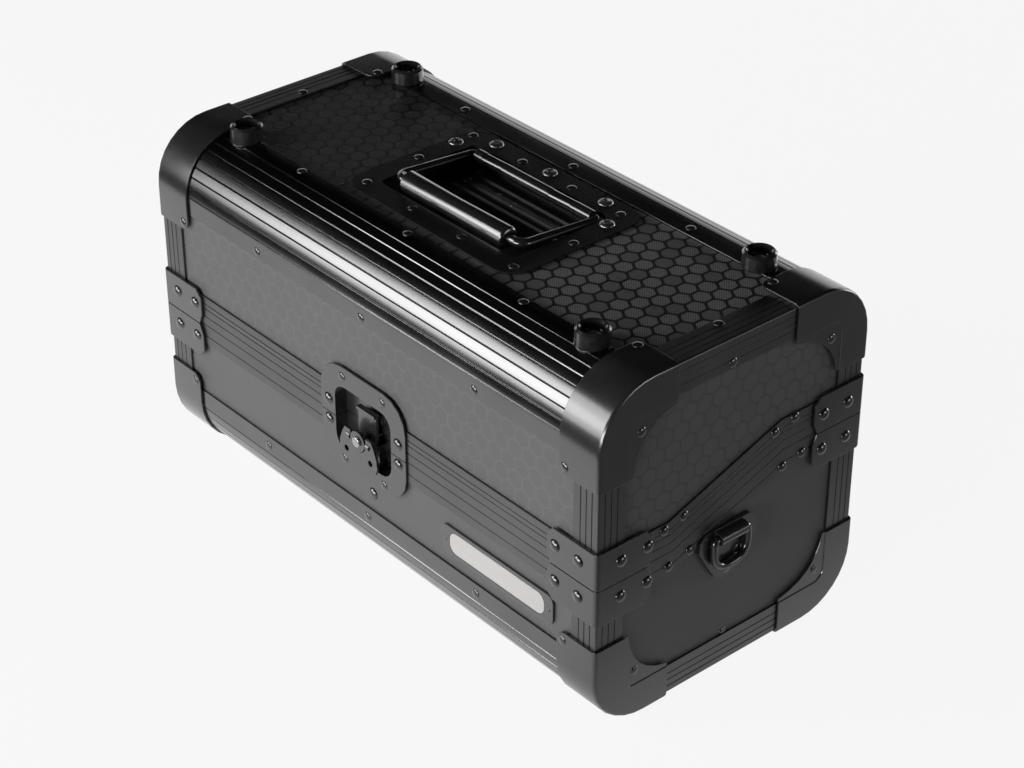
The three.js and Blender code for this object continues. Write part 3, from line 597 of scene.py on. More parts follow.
@dataclass(frozen=True)
class Finishes:
    """Every finish of the case."""

    laminate: Finish = Laminate("charcoal_laminate")
    # These three honeycomb finishes are lit and shaded copies of one print. Each face's print contrast and
    # tone are set to match how the light showed it: strong on the top, faint on the front and the ends.
    comb_top: Finish = Honeycomb(
        "honeycomb_top", plane=Plane.TOP, origin=(113.0, 4.0), tone=0.15, roughness=0.29, specular=0.15,
        gap=0.95, gap_tone=0.12, line_tone=1.0, painted_shade_share=0.78,
    )
    comb_front: Finish = Honeycomb(
        "honeycomb_front", plane=Plane.FRONT, origin=(0.0, 156.7), gap_tone=1.13, line_tone=0.0
    )
    comb_end: Finish = Honeycomb(
        "honeycomb_end", plane=Plane.END, origin=(0.0, 156.7), gap_tone=0.82, line_tone=0.08
    )
    profile: Finish = Metal("anodised_profile_finish")
    cross_profile: Finish = Metal(
        "anodised_end_profile_finish", tone=0.13, roughness=0.36, run=Run.NONE,
        mark_tone=0.048, mark_gloss=0.048, mark_depth=0.001,
    )
    cap: Finish = PaintedSteel("satin_black_steel", roughness=0.22, coat=0.3, peel_depth=0.0012)
    latch: Finish = PaintedSteel("latch_black_steel", tone=0.016, roughness=0.28, coat=0.35)
    rivet: Finish = PaintedSteel("rivet_black", tone=0.014, roughness=0.2, peel_depth=0.003)
    bright: Finish = BareMetal("bright_steel_finish", tone=0.42)
    screw: Finish = BareMetal("screw_steel_finish", tone=0.36, roughness=0.32)
    rod: Finish = Gloss("rod_gloss_black")
    grip: Finish = Gloss("grip_gloss_finish", roughness=0.23, coat=0.8)
    rubber: Finish = Gloss("foot_rubber_finish", tone=0.014, roughness=0.22)
    badge_rim: Finish = PaintedSteel("badge_rim_black", tone=0.02, roughness=0.22, coat=0.5)
    badge_face: Finish = BareMetal(
        "badge_bare_face", tone=0.62, roughness=0.38, run=Run.LENGTH, cloud_tone=0.03
    )


# Edges and dressing of the frame's own nodes


@dataclass(frozen=True)
class EdgeFinish:
    """How a node's edges are eased and its curves shaded."""

    bevel: float = 0.25
    segments: int = 2
    smooth_angle: float = 34.0
    bevel_angle: float = 32.0
    rolled: bool = False
    rolled_angle: float = 13.0
    skin_slack: float = 0.25
    clamped: bool = True
    weld_reach: float = 0.01
    flat_angle: float = 0.4
    face_weight: int = 60

    def rolled_normals(self, bench: NodeBench, mesh: NodeSocket) -> NodeSocket:
        """Shades the outer skin as the true round that runs along the case.

        Args:
            bench: The tree's bench.
            mesh: The mesh, already shaded by its folds.

        Returns:
            The mesh with the skin's normals square to the round.
        """
        _, y, z = bench.split(bench.node("GeometryNodeInputPosition").outputs[0])
        parts = []
        for place, half in ((y, CASE_DEPTH / 2), (z - (CASE_HEIGHT / 2 + CASE_LIFT) * MM, CASE_HEIGHT / 2)):
            beyond = bench.highest(abs(place) - (half - EDGE_RADIUS) * MM, 0.0)
            parts.append(beyond * bench.math("SIGN", place))
        out = bench.vector(0.0, *parts)
        way = bench.vector_math("NORMALIZE", out).outputs[0]
        reach = bench.signal(bench.vector_math("LENGTH", out), "Value")
        normal = bench.node("GeometryNodeInputNormal")
        domain = {"data_type": "FLOAT_VECTOR", "domain": "FACE"}
        flat = bench.node("GeometryNodeFieldOnDomain", domain, {0: normal.outputs["True Normal"]})
        along = bench.signal(bench.vector_math("DOT_PRODUCT", flat.outputs[0], way), "Value")
        level = along > math.cos(math.radians(self.rolled_angle))
        skin = level * (reach > (EDGE_RADIUS - self.skin_slack) * MM)
        choice = {"Switch": skin, "False": normal.outputs["Normal"], "True": way}
        chosen = bench.node("GeometryNodeSwitch", {"input_type": "VECTOR"}, choice).outputs[0]
        values = {"Mesh": mesh, "Custom Normal": chosen}
        free = {"mode": "FREE", "domain": "CORNER"}
        return bench.node("GeometryNodeSetMeshNormal", free, values).outputs[0]

    def tree(self) -> NodeTree:
        """The node tree that shades curves smooth and keeps folds sharp.

        Returns:
            The tree, made once for each way of shading.
        """
        name = f"shade_{'rolled_' if self.rolled else ''}{self.smooth_angle:.0f}"
        if name in bpy.data.node_groups:
            return bpy.data.node_groups[name]
        tree = bpy.data.node_groups.new(name, "GeometryNodeTree")
        tree.interface.new_socket("Mesh", in_out="INPUT", socket_type="NodeSocketGeometry")
        tree.interface.new_socket("Mesh", in_out="OUTPUT", socket_type="NodeSocketGeometry")
        bench = NodeBench(tree)
        entry = bench.node("NodeGroupInput").outputs[0]
        fold = bench.signal(bench.node("GeometryNodeInputMeshEdgeAngle"))
        sharp = fold > math.radians(self.smooth_angle)
        values = {"Mesh": entry, "Remove Custom": True, "Edge Sharpness": sharp, "Face Sharpness": False}
        mesh = bench.node("GeometryNodeSetMeshNormal", {"mode": "SHARPNESS"}, values).outputs[0]
        if self.rolled:
            mesh = self.rolled_normals(bench, mesh)
        bench.node("NodeGroupOutput", values={0: mesh})
        return tree

    def apply(self, piece: Object) -> None:
        """Adds the modifiers to a piece.

        Args:
            piece: A node of the frame.
        """
        weld = piece.modifiers.new("weld", "WELD")
        weld.merge_threshold = self.weld_reach * MM
        if self.bevel > 0:
            flat = piece.modifiers.new("flat", "DECIMATE")
            flat.decimate_type = "DISSOLVE"
            flat.angle_limit = math.radians(self.flat_angle)
            ease = piece.modifiers.new("ease", "BEVEL")
            ease.width = self.bevel * MM
            ease.segments = self.segments
            ease.limit_method = "ANGLE"
            ease.angle_limit = math.radians(self.bevel_angle)
            ease.use_clamp_overlap = self.clamped
        shade = piece.modifiers.new("shade", "NODES")
        shade.node_group = self.tree()
        if not self.rolled:
            even = piece.modifiers.new("even", "WEIGHTED_NORMAL")
            even.keep_sharp = True
            even.weight = self.face_weight


CRISP = EdgeFinish(bevel=0.0)
ROUND = EdgeFinish(bevel=0.0, smooth_angle=50.0)


@dataclass
class Assembly:
    """A sub-assembly of the case: dresses nodes of the frame and builds pieces of its own."""

    finishes: Finishes
    made: list[str] = field(default_factory=list)

    def dress(self, names: Iterable[str], finish: Finish, edges: EdgeFinish = CRISP) -> None:
        """Gives nodes of the frame their finish and eased edges.

        Args:
            names: The nodes.
            finish: Their finish.
            edges: How their edges are eased and shaded.
        """
        for name in names:
            node = frame["nodes"][name]
            node.data.materials.clear()
            node.data.materials.append(finish.material())
            edges.apply(node)
            self.made.append(name)

    def build(self) -> None:
        """Dresses or makes the pieces; each assembly has its own way."""
        raise NotImplementedError

    def report(self) -> None:
        """Logs every piece of this assembly."""
        for name in self.made:
            LOG.info("%s: %s", type(self).__name__, name)


# Fasteners


class Face(Enum):
    """A face of the case: the way it looks, and the axes of its two coordinates."""

    FRONT = ((0, -1, 0), 0, 2)
    REAR = ((0, 1, 0), 0, 2)
    LEFT = ((-1, 0, 0), 1, 2)
    RIGHT = ((1, 0, 0), 1, 2)
    TOP = ((0, 0, 1), 0, 1)
    BOTTOM = ((0, 0, -1), 0, 1)

    @property
    def out(self) -> Vector:
        """The way that the face looks."""
        return Vector(self.value[0])

    def point(self, u: float, v: float) -> Vector:
        """A point far outside the face, over its coordinates u and v in millimetres."""
        place = {self.value[1]: u, self.value[2]: v}
        return at(*(place.get(axis, part * RAY_REACH) for axis, part in enumerate(self.out)))


SIDES = (Face.FRONT, Face.REAR)
ENDS = (Face.LEFT, Face.RIGHT)


class HeadSize(Enum):
    """The radius and height of each kind of head in millimetres."""

    EDGE = (3.3, 1.1)
    PLATE = (4.2, 2.1)
    BEND = (3.612, 1.89)
    RING = (3.3, 0.77)
    BADGE = (1.5, 0.6)
    DISH = (2.6, 1.1)
    SCREW = (5.0, 2.0)
    HUB = (3.5, 0.7)


@dataclass(frozen=True)
class Head:
    """The head of one rivet or screw, seen square on."""

    face: Face
    u: float
    v: float
    size: HeadSize
    turn: float = 0.0


class Seats:
    """Finds where a head sits on the solids that carry it."""

    def __init__(self, body: str) -> None:
        """Gathers the solids of one body.

        Args:
            body: The body's name in the frame.
        """
        corners: list[Vector] = []
        faces: list[tuple[int, ...]] = []
        for node in frame["nodes"].values():
            if node["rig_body"] == body:
                start = len(corners)
                corners.extend(vertex.co.copy() for vertex in node.data.vertices)
                faces.extend(tuple(start + i for i in part.vertices) for part in node.data.polygons)
        self.tree = BVHTree.FromPolygons(corners, faces)

    def under(self, head: Head) -> Vector:
        """The first surface under a head.

        Args:
            head: The head to seat.

        Returns:
            The point on that surface.

        Raises:
            ValueError: There is nothing under the head.
        """
        hit = self.tree.ray_cast(head.face.point(head.u, head.v), -head.face.out)
        if hit[0] is None:
            raise ValueError(f"no surface under {head}")
        return hit[0]


@dataclass(frozen=True)
class HeadMaker:
    """Builds the tree that puts a turned head on every point of a mesh."""

    name: str
    around: int = 18
    rings: int = 9
    crown: float = 0.6
    skirt: float = 0.8
    fullness: float = 1.25
    sunk: float = 0.35
    merge_reach: float = 0.0001
    crossed: bool = False
    cross_reach: float = 0.58
    cross_width: float = 0.17
    cross_depth: float = 0.62

    def dome(self, bench: NodeBench, around: Signal, rings: Signal) -> NodeSocket:
        """A closed dome of radius and height one, turned from a grid.

        Args:
            bench: The tree's bench.
            around: The count of points round it.
            rings: The count of rings from its top to its foot.

        Returns:
            The dome's mesh.
        """
        counts = {"Vertices X": around, "Vertices Y": rings}
        grid = bench.node("GeometryNodeMeshGrid", values=counts).outputs[0]
        x, y, _ = bench.split(bench.node("GeometryNodeInputPosition").outputs[0])
        turn = (x + 0.5) * -FULL_TURN
        way = y + 0.5
        rise = bench.lowest(way / self.crown, 1.0) * (math.pi / 2)
        drop = bench.lowest(bench.highest((way - self.crown) / (self.skirt - self.crown), 0.0), 1.0)
        close = bench.highest((way - self.skirt) / (1 - self.skirt), 0.0)
        radius = bench.math("SINE", rise) * (1 - close)
        round_top = bench.math("POWER", bench.highest(bench.math("COSINE", rise), 0.0), self.fullness)
        height = round_top - drop * self.sunk
        place = bench.vector(radius * bench.math("COSINE", turn), radius * bench.math("SINE", turn), height)
        moved = bench.node("GeometryNodeSetPosition", values={"Geometry": grid, "Position": place})
        merge = {"Geometry": moved.outputs[0], "Distance": self.merge_reach}
        return bench.node("GeometryNodeMergeByDistance", values=merge).outputs[0]

    def cross(self, bench: NodeBench, dome: NodeSocket) -> NodeSocket:
        """Cuts a cross recess into a dome.

        Args:
            bench: The tree's bench.
            dome: The dome's mesh.

        Returns:
            The mesh with its recess.
        """
        length, width, depth = (2 * part for part in (self.cross_reach, self.cross_width, self.cross_depth))
        for size in ((length, width, depth), (width, length, depth)):
            cube = bench.node("GeometryNodeMeshCube", values={"Size": size}).outputs[0]
            lift = {"Geometry": cube, "Translation": (0.0, 0.0, 1.0)}
            bar = bench.node("GeometryNodeTransform", values=lift).outputs[0]
            cut = {"operation": "DIFFERENCE", "solver": "EXACT"}
            dome = bench.node("GeometryNodeMeshBoolean", cut, {"Mesh 1": dome, "Mesh 2": bar}).outputs[0]
        return dome

    def attribute(self, bench: NodeBench, name: str, kind: str) -> NodeSocket:
        """A named value of each point."""
        return bench.node("GeometryNodeInputNamedAttribute", {"data_type": kind}, {"Name": name}).outputs[0]

    def tree(self) -> NodeTree:
        """The whole tree: heads on points, made real and shaded smooth.

        Returns:
            The tree, made once, with the counts of points and rings as inputs.
        """
        if self.name in bpy.data.node_groups:
            return bpy.data.node_groups[self.name]
        tree = bpy.data.node_groups.new(self.name, "GeometryNodeTree")
        for label, kind in (("Points", "Geometry"), ("Around", "Int"), ("Rings", "Int")):
            tree.interface.new_socket(label, in_out="INPUT", socket_type=f"NodeSocket{kind}")
        tree.interface.new_socket("Heads", in_out="OUTPUT", socket_type="NodeSocketGeometry")
        bench = NodeBench(tree)
        entry = bench.node("NodeGroupInput")
        head = self.dome(bench, bench.signal(entry, 1), bench.signal(entry, 2))
        if self.crossed:
            head = self.cross(bench, head)
        start = bench.vector(0.0, 0.0, self.attribute(bench, "spin", "FLOAT"))
        spun = bench.node("FunctionNodeEulerToRotation", values={0: start}).outputs[0]
        facing = {"Rotation": spun, "Vector": self.attribute(bench, "facing", "FLOAT_VECTOR")}
        aim = bench.node("FunctionNodeAlignRotationToVector", {"axis": "Z"}, facing).outputs[0]
        size = self.attribute(bench, "size", "FLOAT_VECTOR")
        copies = {"Points": entry.outputs[0], "Instance": head, "Rotation": aim, "Scale": size}
        placed = bench.node("GeometryNodeInstanceOnPoints", values=copies)
        real = bench.node("GeometryNodeRealizeInstances", values={0: placed.outputs[0]})
        smooth = bench.node("GeometryNodeSetShadeSmooth", values={0: real.outputs[0]})
        bench.node("NodeGroupOutput", values={0: smooth.outputs[0]})
        return tree

    def place(self, name: str, body: str, heads: Sequence[Head], finish: Finish, slot: str) -> None:
        """Makes one plain mesh of all heads and lets it ride.

        Args:
            name: The piece's name.
            body: The body that carries the heads.
            heads: Where the heads are.
            finish: Their finish.
            slot: The record's material slot; not used.
        """
        seats = Seats(body)
        mesh = bpy.data.meshes.new(f"{name}_points")
        mesh.from_pydata([seats.under(head) for head in heads], [], [])
        facing = [part for head in heads for part in head.face.out]
        size = [part * MM for head in heads for part in (head.size.value[0], *head.size.value)]
        for label, kind, key, values in (
            ("facing", "FLOAT_VECTOR", "vector", facing),
            ("size", "FLOAT_VECTOR", "vector", size),
            ("spin", "FLOAT", "value", [head.turn for head in heads]),
        ):
            mesh.attributes.new(label, kind, "POINT").data.foreach_set(key, values)
        source = new_object(f"{name}_source", mesh)
        nodes = source.modifiers.new("heads", "NODES")
        nodes.node_group = self.tree()
        sockets = {socket.name: socket.identifier for socket in nodes.node_group.interface.items_tree}
        nodes[sockets["Around"]] = self.around + 1
        nodes[sockets["Rings"]] = self.rings + 2
        graph = bpy.context.evaluated_depsgraph_get()
        plain = bpy.data.meshes.new_from_object(source.evaluated_get(graph), depsgraph=graph)
        plain.name = name
        plain.materials.clear()
        plain.materials.append(finish.material())
        piece = new_object(name, plain)
        bpy.data.objects.remove(source)
        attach(piece, body)


def heads_on(faces: Iterable[Face], places: Places, size: HeadSize) -> list[Head]:
    """Heads of one size at the same places on each of some faces."""
    return [Head(face, u, v, size) for face in faces for u, v in places]


def mirrored(heads: Iterable[Head]) -> list[Head]:
    """Heads and their mirror images across the case's length."""
    return [twin for head in heads for twin in (head, replace(head, u=-head.u))]


@dataclass(frozen=True)
class HalfPlaces:
    """Where the lid or the base has the rivets that both of them have, in millimetres."""

    flat: Face
    flat_rows: Pair
    row_height: float
    cap_height: float
    end_rivets: Places
    bend_rivets: Places
    seam_front: float
    seam_rear: float
    latch_rim: float
    latch_side: float
    hinge: float


@dataclass
class Fasteners(Assembly):
    """Every rivet and screw that shows on the case."""

    lid: HalfPlaces = HalfPlaces(
        flat=Face.TOP,
        flat_rows=(-69.5, 65.0),
        row_height=190.0,
        cap_height=178.5,
        end_rivets=((-5, 218), (-76.5, 202), (76.5, 202)),
        bend_rivets=((-55, 124), (-39, 127), (33.8, 153.7), (50.5, 157.5)),
        seam_front=120.6,
        seam_rear=150.6,
        latch_rim=138.7,
        latch_side=116.0,
        hinge=148.2,
    )
    base: HalfPlaces = HalfPlaces(
        flat=Face.BOTTOM,
        flat_rows=(-69.5, 69.5),
        row_height=42.5,
        cap_height=56.0,
        end_rivets=((0, 21.7), (-76.5, 33), (76.5, 33)),
        bend_rivets=((-50.5, 96), (-33.3, 100), (42, 125.8), (58.3, 128.8)),
        seam_front=95.4,
        seam_rear=125.6,
        latch_rim=77.6,
        latch_side=101.0,
        hinge=128.2,
    )
    row: tuple[float, ...] = (-107.0, 0.0, 107.0)
    hinge_row: tuple[float, ...] = (-137.5, -87.5, -37.5, 37.5, 87.5, 137.5)
    cap_column: float = 188.0
    plate_columns: tuple[float, ...] = (181.0, 201.0)
    end_front: tuple[float, ...] = (-90.5, -69.5)
    end_rear: tuple[float, ...] = (74.0, 95.0)
    latch_columns: Pair = (20.0, 35.0)
    top_ends: Places = ((198, -1), (187, -54), (187, 54))
    handle_rivets: Places = (
        (-69, -47), (-23, -47), (24, -47), (72, -47), (-74, -1),
        (74, -1), (-75, 45), (-26, 45), (21, 45), (66, 45),
    )
    handle_turn: float = 0.4
    handle_screws: Places = ((-55, 48), (-3, 48), (49, 48), (-75, 30.5), (70, 30))
    dish_rivets: Places = ((-48, 18), (-19, 19), (-3, 18))
    foot_turn: float = 0.7
    foot_screws: Places = ((-166.4, -69.2), (-166.4, 63.6), (166.4, -69.2), (166.4, 63.6))
    below_latch: Places = ((4.5, 62),)
    badge_rivets: Places = ((78.9, 69.2), (174.1, 69.2))
    ring_rivets: Places = ((-12, 84), (5, 84), (-3.5, 73.5))
    hub: Places = ((0, 102.5),)

    def half(self, places: HalfPlaces) -> list[Head]:
        """Rivets of the kinds that the lid and the base both have.

        Args:
            places: Where they are on this half.

        Returns:
            Their heads.
        """
        heads = heads_on(SIDES, tuple((u, places.row_height) for u in self.row), HeadSize.EDGE)
        flat = tuple((u, v) for u in self.row for v in places.flat_rows)
        heads += heads_on([places.flat], flat, HeadSize.EDGE)
        heads += mirrored(heads_on(SIDES, ((self.cap_column, places.cap_height),), HeadSize.EDGE))
        heads += heads_on(ENDS, places.end_rivets, HeadSize.EDGE)
        heads += heads_on(ENDS, places.bend_rivets, HeadSize.BEND)
        for face, rows, height in (
            (Face.FRONT, self.end_front, places.seam_front),
            (Face.REAR, self.end_rear, places.seam_rear),
        ):
            columns = tuple((u, height) for u in self.plate_columns)
            heads += mirrored(heads_on([face], columns, HeadSize.PLATE))
            heads += heads_on(ENDS, tuple((v, height) for v in rows), HeadSize.PLATE)
        rim, side = self.latch_columns
        heads += mirrored([Head(Face.FRONT, rim, places.latch_rim, HeadSize.EDGE)])
        heads += mirrored([Head(Face.FRONT, side, places.latch_side, HeadSize.PLATE)])
        hinge = tuple((u, places.hinge) for u in self.hinge_row)
        return heads + heads_on([Face.REAR], hinge, HeadSize.EDGE)

    def screwed(self, places: Places, turn: float) -> list[Head]:
        """Screws on the top, each turned a step further than the one before."""
        return [Head(Face.TOP, u, v, HeadSize.SCREW, turn * i) for i, (u, v) in enumerate(places)]

    def build(self) -> None:
        """Makes the rivets and screws of each body."""
        rivets = HeadMaker("rivet_heads")
        screws = HeadMaker("screw_heads", crossed=True)
        lid = self.half(self.lid) + mirrored(heads_on([Face.TOP], self.top_ends, HeadSize.EDGE))
        lid += heads_on([Face.TOP], self.handle_rivets, HeadSize.EDGE)
        base = self.half(self.base) + heads_on([Face.FRONT], self.below_latch, HeadSize.PLATE)
        base += heads_on([Face.FRONT], self.badge_rivets, HeadSize.BADGE)
        base += heads_on(ENDS, self.ring_rivets, HeadSize.RING)
        dish = heads_on([Face.TOP], self.dish_rivets, HeadSize.DISH)
        handle = self.screwed(self.handle_screws, self.handle_turn)
        feet = self.screwed(self.foot_screws, self.foot_turn)
        hub = heads_on([Face.FRONT], self.hub, HeadSize.HUB)
        black, steel, bright = self.finishes.rivet, self.finishes.screw, self.finishes.bright
        for maker, name, body, heads, finish, slot in (
            (rivets, "lid_rivets", "lid", lid, black, "latch_steel"),
            (rivets, "base_rivets", "base", base, black, "latch_steel"),
            (screws, "handle_screws", "lid", handle, steel, "bright_steel"),
            (rivets, "dish_rivets", "lid", dish, steel, "bright_steel"),
            (screws, "foot_screws", "lid", feet, steel, "bright_steel"),
            (rivets, "hub_rivet", "latch_turner", hub, bright, "bright_steel"),
        ):
            maker.place(name, body, heads, finish, slot)
            self.made.append(name)


# Sub-assemblies


@dataclass
class Shell(Assembly):
    """Panels, profiles, caps and seam plates of the base or the lid."""

    body: str = "base"
    profile_edges: EdgeFinish = EdgeFinish(bevel=0.25, rolled=True, clamped=False)
    frame_edges: EdgeFinish = EdgeFinish(bevel=0.22)
    cap_edges: EdgeFinish = EdgeFinish(bevel=0.5)

    def build(self) -> None:
        """Dresses the panels, profiles, frames, caps and seam plates of this half of the case."""
        for name in self.nodes("_panel"):
            self.dress([name], self.panel_finish(name))
        self.dress(self.nodes("_profile"), self.finishes.profile, self.profile_edges)
        self.dress(self.nodes("_end_frame", "_closing_frame"), self.finishes.cross_profile, self.frame_edges)
        self.dress(self.nodes("_cap", "_seam_plate"), self.finishes.cap, self.cap_edges)

    def nodes(self, *endings: str) -> list[str]:
        """The names of this half's nodes that end in one of some ways."""
        mine = [name for name, node in frame["nodes"].items() if node["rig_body"] == self.body]
        return [name for name in mine if name.endswith(endings)]

    def panel_finish(self, name: str) -> Finish:
        """The laminate of a panel: hexagons on the lid, plain on the base.

        Args:
            name: The panel's node.

        Returns:
            Its finish.
        """
        if self.body == "base":
            return self.finishes.laminate
        if "top" in name:
            return self.finishes.comb_top
        if "front" in name or "rear" in name:
            return self.finishes.comb_front
        return self.finishes.comb_end


@dataclass
class Latch(Assembly):
    """The recessed twist latch."""

    edges: EdgeFinish = EdgeFinish(bevel=0.3)

    def build(self) -> None:
        """Dresses the dishes, the keeper and the moving parts."""
        fixed = ["latch_base_dish", "latch_lid_dish", "latch_keeper"]
        moving = ["latch_turner", "latch_wing", "latch_hook"]
        self.dress(fixed + moving, self.finishes.latch, self.edges)


@dataclass
class Handle(Assembly):
    """The fold-down handle in its dish."""

    edges: EdgeFinish = EdgeFinish(bevel=0.35)

    def build(self) -> None:
        """Dresses the dish, the bail and the grip."""
        self.dress(["handle_dish"], self.finishes.cap, self.edges)
        self.dress(["handle_bail"], self.finishes.rod, ROUND)
        self.dress(["handle_grip"], self.finishes.grip, ROUND)


@dataclass
class Hinge(Assembly):
    """The continuous hinge along the rear seam."""

    edges: EdgeFinish = EdgeFinish(bevel=0.2, smooth_angle=40.0)

    def build(self) -> None:
        """Dresses both leaves and the pin."""
        self.dress(["hinge_base_leaf", "hinge_lid_leaf"], self.finishes.cap, self.edges)
        self.dress(["hinge_pin"], self.finishes.bright)


@dataclass
class StrapRings(Assembly):
    """The strap rings and their plates on both ends."""

    edges: EdgeFinish = EdgeFinish(bevel=0.3)

    def build(self) -> None:
        """Dresses the plates and the rings."""
        self.dress(["left_ring_plate", "right_ring_plate"], self.finishes.latch, self.edges)
        rings = [name for name, node in frame["nodes"].items() if node["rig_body"].endswith("_ring")]
        self.dress(rings, self.finishes.rod, ROUND)


@dataclass
class Feet(Assembly):
    """The rubber feet on the lid."""

    edges: EdgeFinish = EdgeFinish(bevel=1.0, segments=3, bevel_angle=50.0, clamped=False)

    def build(self) -> None:
        """Dresses the four feet."""
        self.dress([n for n in frame["nodes"] if n.endswith("_foot")], self.finishes.rubber, self.edges)


@dataclass
class Badge(Assembly):
    """The bare badge on the front."""

    edges: EdgeFinish = EdgeFinish(bevel=0.35)

    def build(self) -> None:
        """Dresses the rim and the plate in it."""
        self.dress(["badge_frame"], self.finishes.badge_rim, self.edges)
        self.dress(["badge_insert"], self.finishes.badge_face, self.edges)


# Studio


@dataclass(frozen=True)
class Lamp:
    """A soft rectangular lamp that looks at the case."""

    name: str
    place: Triple
    aim: Triple
    size: Pair
    watts: float

    def build(self) -> None:
        """Makes the lamp, with its place and aim in metres."""
        data = bpy.data.lights.new(self.name, "AREA")
        data.shape = "RECTANGLE"
        data.size, data.size_y = self.size
        data.energy = self.watts
        lamp = new_object(self.name, data)
        lamp.location = self.place
        way = Vector(self.aim) - Vector(self.place)
        lamp.rotation_euler = way.to_track_quat("-Z", "Y").to_euler()


@dataclass(frozen=True)
class Camera:
    """The camera at the viewing angle of the picture."""

    azimuth: float = 49.324
    elevation: float = 32.422
    distance: float = 1.62414
    target: Triple = (0.01598, 0.0, 0.10747)
    lens: float = 88.70

    def build(self) -> None:
        """Makes the camera and gives it to the scene."""
        data = bpy.data.cameras.new("camera")
        data.lens = self.lens
        data.sensor_width = 36.0
        data.sensor_fit = "HORIZONTAL"
        data.clip_start = 0.05
        data.clip_end = 100.0
        turn, tilt = math.radians(self.azimuth), math.radians(self.elevation)
        back = Vector((math.sin(turn) * math.cos(tilt), -math.cos(turn) * math.cos(tilt), math.sin(tilt)))
        camera = new_object("camera", data)
        camera.location = Vector(self.target) + back * self.distance
        camera.rotation_mode = "QUATERNION"
        camera.rotation_quaternion = (-back).to_track_quat("-Z", "Y")
        bpy.context.scene.camera = camera


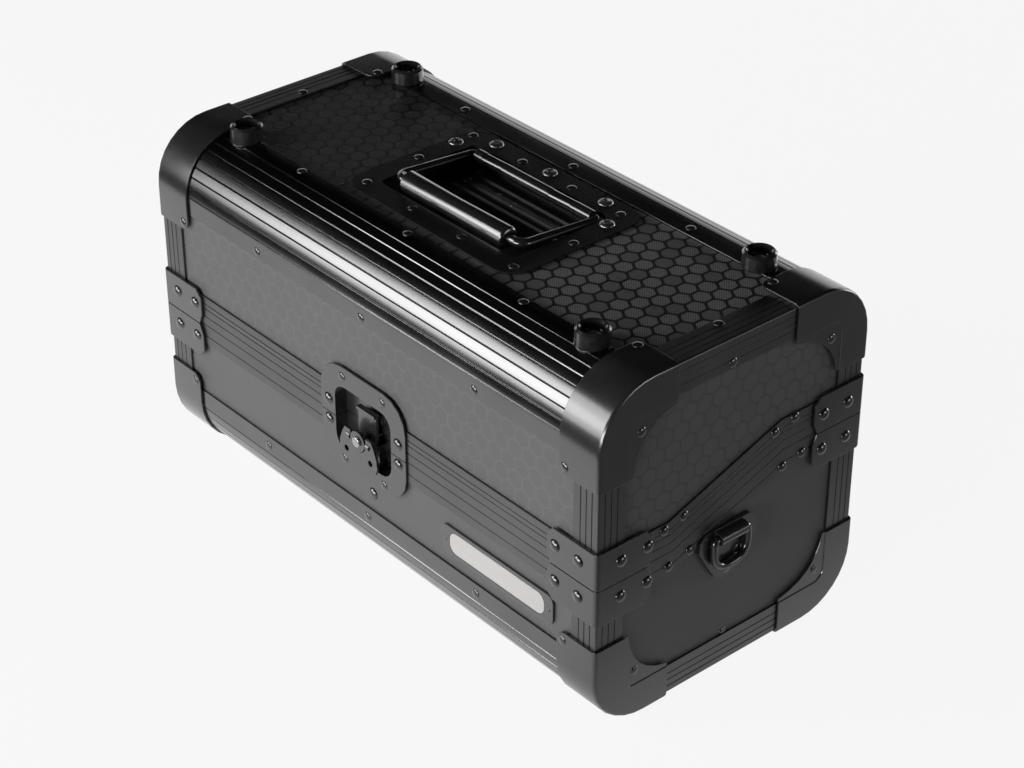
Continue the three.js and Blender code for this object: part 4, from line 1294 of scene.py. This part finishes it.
@dataclass
class Studio:
    """Floor, backdrop, lamps, world and camera."""

    radius: float = 9.0
    wall: float = 9.0
    cove: float = 1.5
    cove_steps: int = 6
    sides: int = 48
    # Painted light in the floor's gloss: the edge of the pool at the front, the painted shadow of the case
    # towards the right and its strength, and the height where the wall stops glowing.
    front_edge: Pair = (-0.47, -0.37)
    right_edge: Pair = (0.05, 0.4)
    painted_shadow_dim: float = 0.85
    wall_edge: Pair = (2.2, 3.4)
    floor_tone: float = 0.8
    floor_share: float = 0.9
    ambient: float = 0.02
    lamps: tuple[Lamp, ...] = (
        Lamp("front_lamp", (0.2, -2.3, 0.3), (0.0, 0.0, 0.12), (1.7, 0.9), 44.0),
        Lamp("left_low_lamp", (-1.139, -1.704, 0.26), (0.0, 0.0, 0.26), (1.05, 0.32), 4.4),
        Lamp("left_lamp", (-1.139, -1.704, 0.685), (0.0, 0.0, 0.685), (1.05, 0.53), 12.5),
        Lamp("left_upper_lamp", (-1.139, -1.704, 1.225), (0.0, 0.0, 1.225), (1.05, 0.55), 9.1),
        Lamp("right_lamp", (2.3, 0.9, 0.4), (0.0, 0.0, 0.12), (1.0, 0.6), 5.5),
        Lamp("rear_lamp", (0.5, 2.4, 0.3), (0.0, 0.0, 0.12), (1.4, 0.6), 15.0),
    )

    def sweep(self) -> None:
        """Makes the floor, which runs up into a round backdrop, as rings of corners."""
        turns = [math.pi / 2 * i / self.cove_steps for i in range(self.cove_steps + 1)]
        middle = self.radius - self.cove
        outline = [(middle + self.cove * math.sin(turn), self.cove * (1 - math.cos(turn))) for turn in turns]
        outline.append((self.radius, self.wall))
        corners = [(0.0, 0.0, 0.0)]
        for reach, height in outline:
            for i in range(self.sides):
                turn = FULL_TURN * i / self.sides
                corners.append((reach * math.cos(turn), reach * math.sin(turn), height))
        faces = [(0, 1 + i, 1 + (i + 1) % self.sides) for i in range(self.sides)]
        for start in range(1, 1 + self.sides * (len(outline) - 1), self.sides):
            for i in range(self.sides):
                here, there = start + i, start + (i + 1) % self.sides
                faces.append((here, here + self.sides, there + self.sides, there))
        mesh = bpy.data.meshes.new("floor")
        mesh.from_pydata(corners, [], faces)
        mesh.materials.append(self.floor_material())
        floor = new_object("floor", mesh)

    def floor_material(self) -> Material:
        """The pale floor's material.

        Returns:
            A material that glows to the eye and keeps a faint shadow. In gloss it glows as a painted pool of
            light near the case's front, dimmed towards the right as a painted shadow of the case, and no
            longer glows up the wall.
        """
        material = bpy.data.materials.new("pale_floor")
        material.use_nodes = True
        bench = NodeBench(material.node_tree)
        bench.tree.nodes.clear()
        path = bench.node("ShaderNodeLightPath")
        x, y, z = bench.split(bench.node("ShaderNodeTexCoord").outputs["Object"])
        # Painted pool of light, seen only in gloss, with a painted shadow of the case dimming it to the
        # right.
        painted_light_pool = bench.step(y, *self.front_edge) * (1 - bench.step(x, *self.right_edge) * self.painted_shadow_dim)
        painted_light_pool = painted_light_pool * (1 - bench.step(z, *self.wall_edge))
        seen = bench.highest(bench.signal(path, "Is Camera Ray"), bench.signal(path, "Is Transmission Ray"))
        gloss = bench.signal(path, "Is Glossy Ray")
        glow = bench.highest(seen, gloss * painted_light_pool)
        matt = bench.node("ShaderNodeBsdfDiffuse", values={"Color": grey(self.floor_tone)}).outputs[0]
        shine = bench.node("ShaderNodeEmission", values={"Color": grey(1.0), "Strength": glow}).outputs[0]
        share = bench.highest(seen * self.floor_share, gloss)
        mixed = bench.node("ShaderNodeMixShader", values={0: share, 1: matt, 2: shine})
        bench.node("ShaderNodeOutputMaterial", values={"Surface": mixed.outputs[0]})
        return material

    def build(self) -> None:
        """Makes the studio."""
        scene = bpy.context.scene
        world = bpy.data.worlds.new("studio_world")
        world.use_nodes = True
        bench = NodeBench(world.node_tree)
        bench.tree.nodes.clear()
        back = bench.node("ShaderNodeBackground", values={"Color": grey(1.0), "Strength": self.ambient})
        bench.node("ShaderNodeOutputWorld", values={"Surface": back.outputs[0]})
        scene.world = world
        scene.view_settings.view_transform = "Standard"
        self.sweep()
        for lamp in self.lamps:
            lamp.build()
        Camera().build()


def main() -> None:
    """Builds the case's looks and reports each piece."""
    logging.basicConfig(level=logging.INFO, format="%(message)s")
    finishes = Finishes()
    assemblies: list[Assembly] = [
        Shell(finishes, body="base"),
        Shell(finishes, body="lid"),
        *(kind(finishes) for kind in (Latch, Handle, Hinge, StrapRings, Feet, Badge, Fasteners)),
    ]
    for assembly in assemblies:
        assembly.build()
        assembly.report()
    Studio().build()


if __name__ == "__main__":
    main()
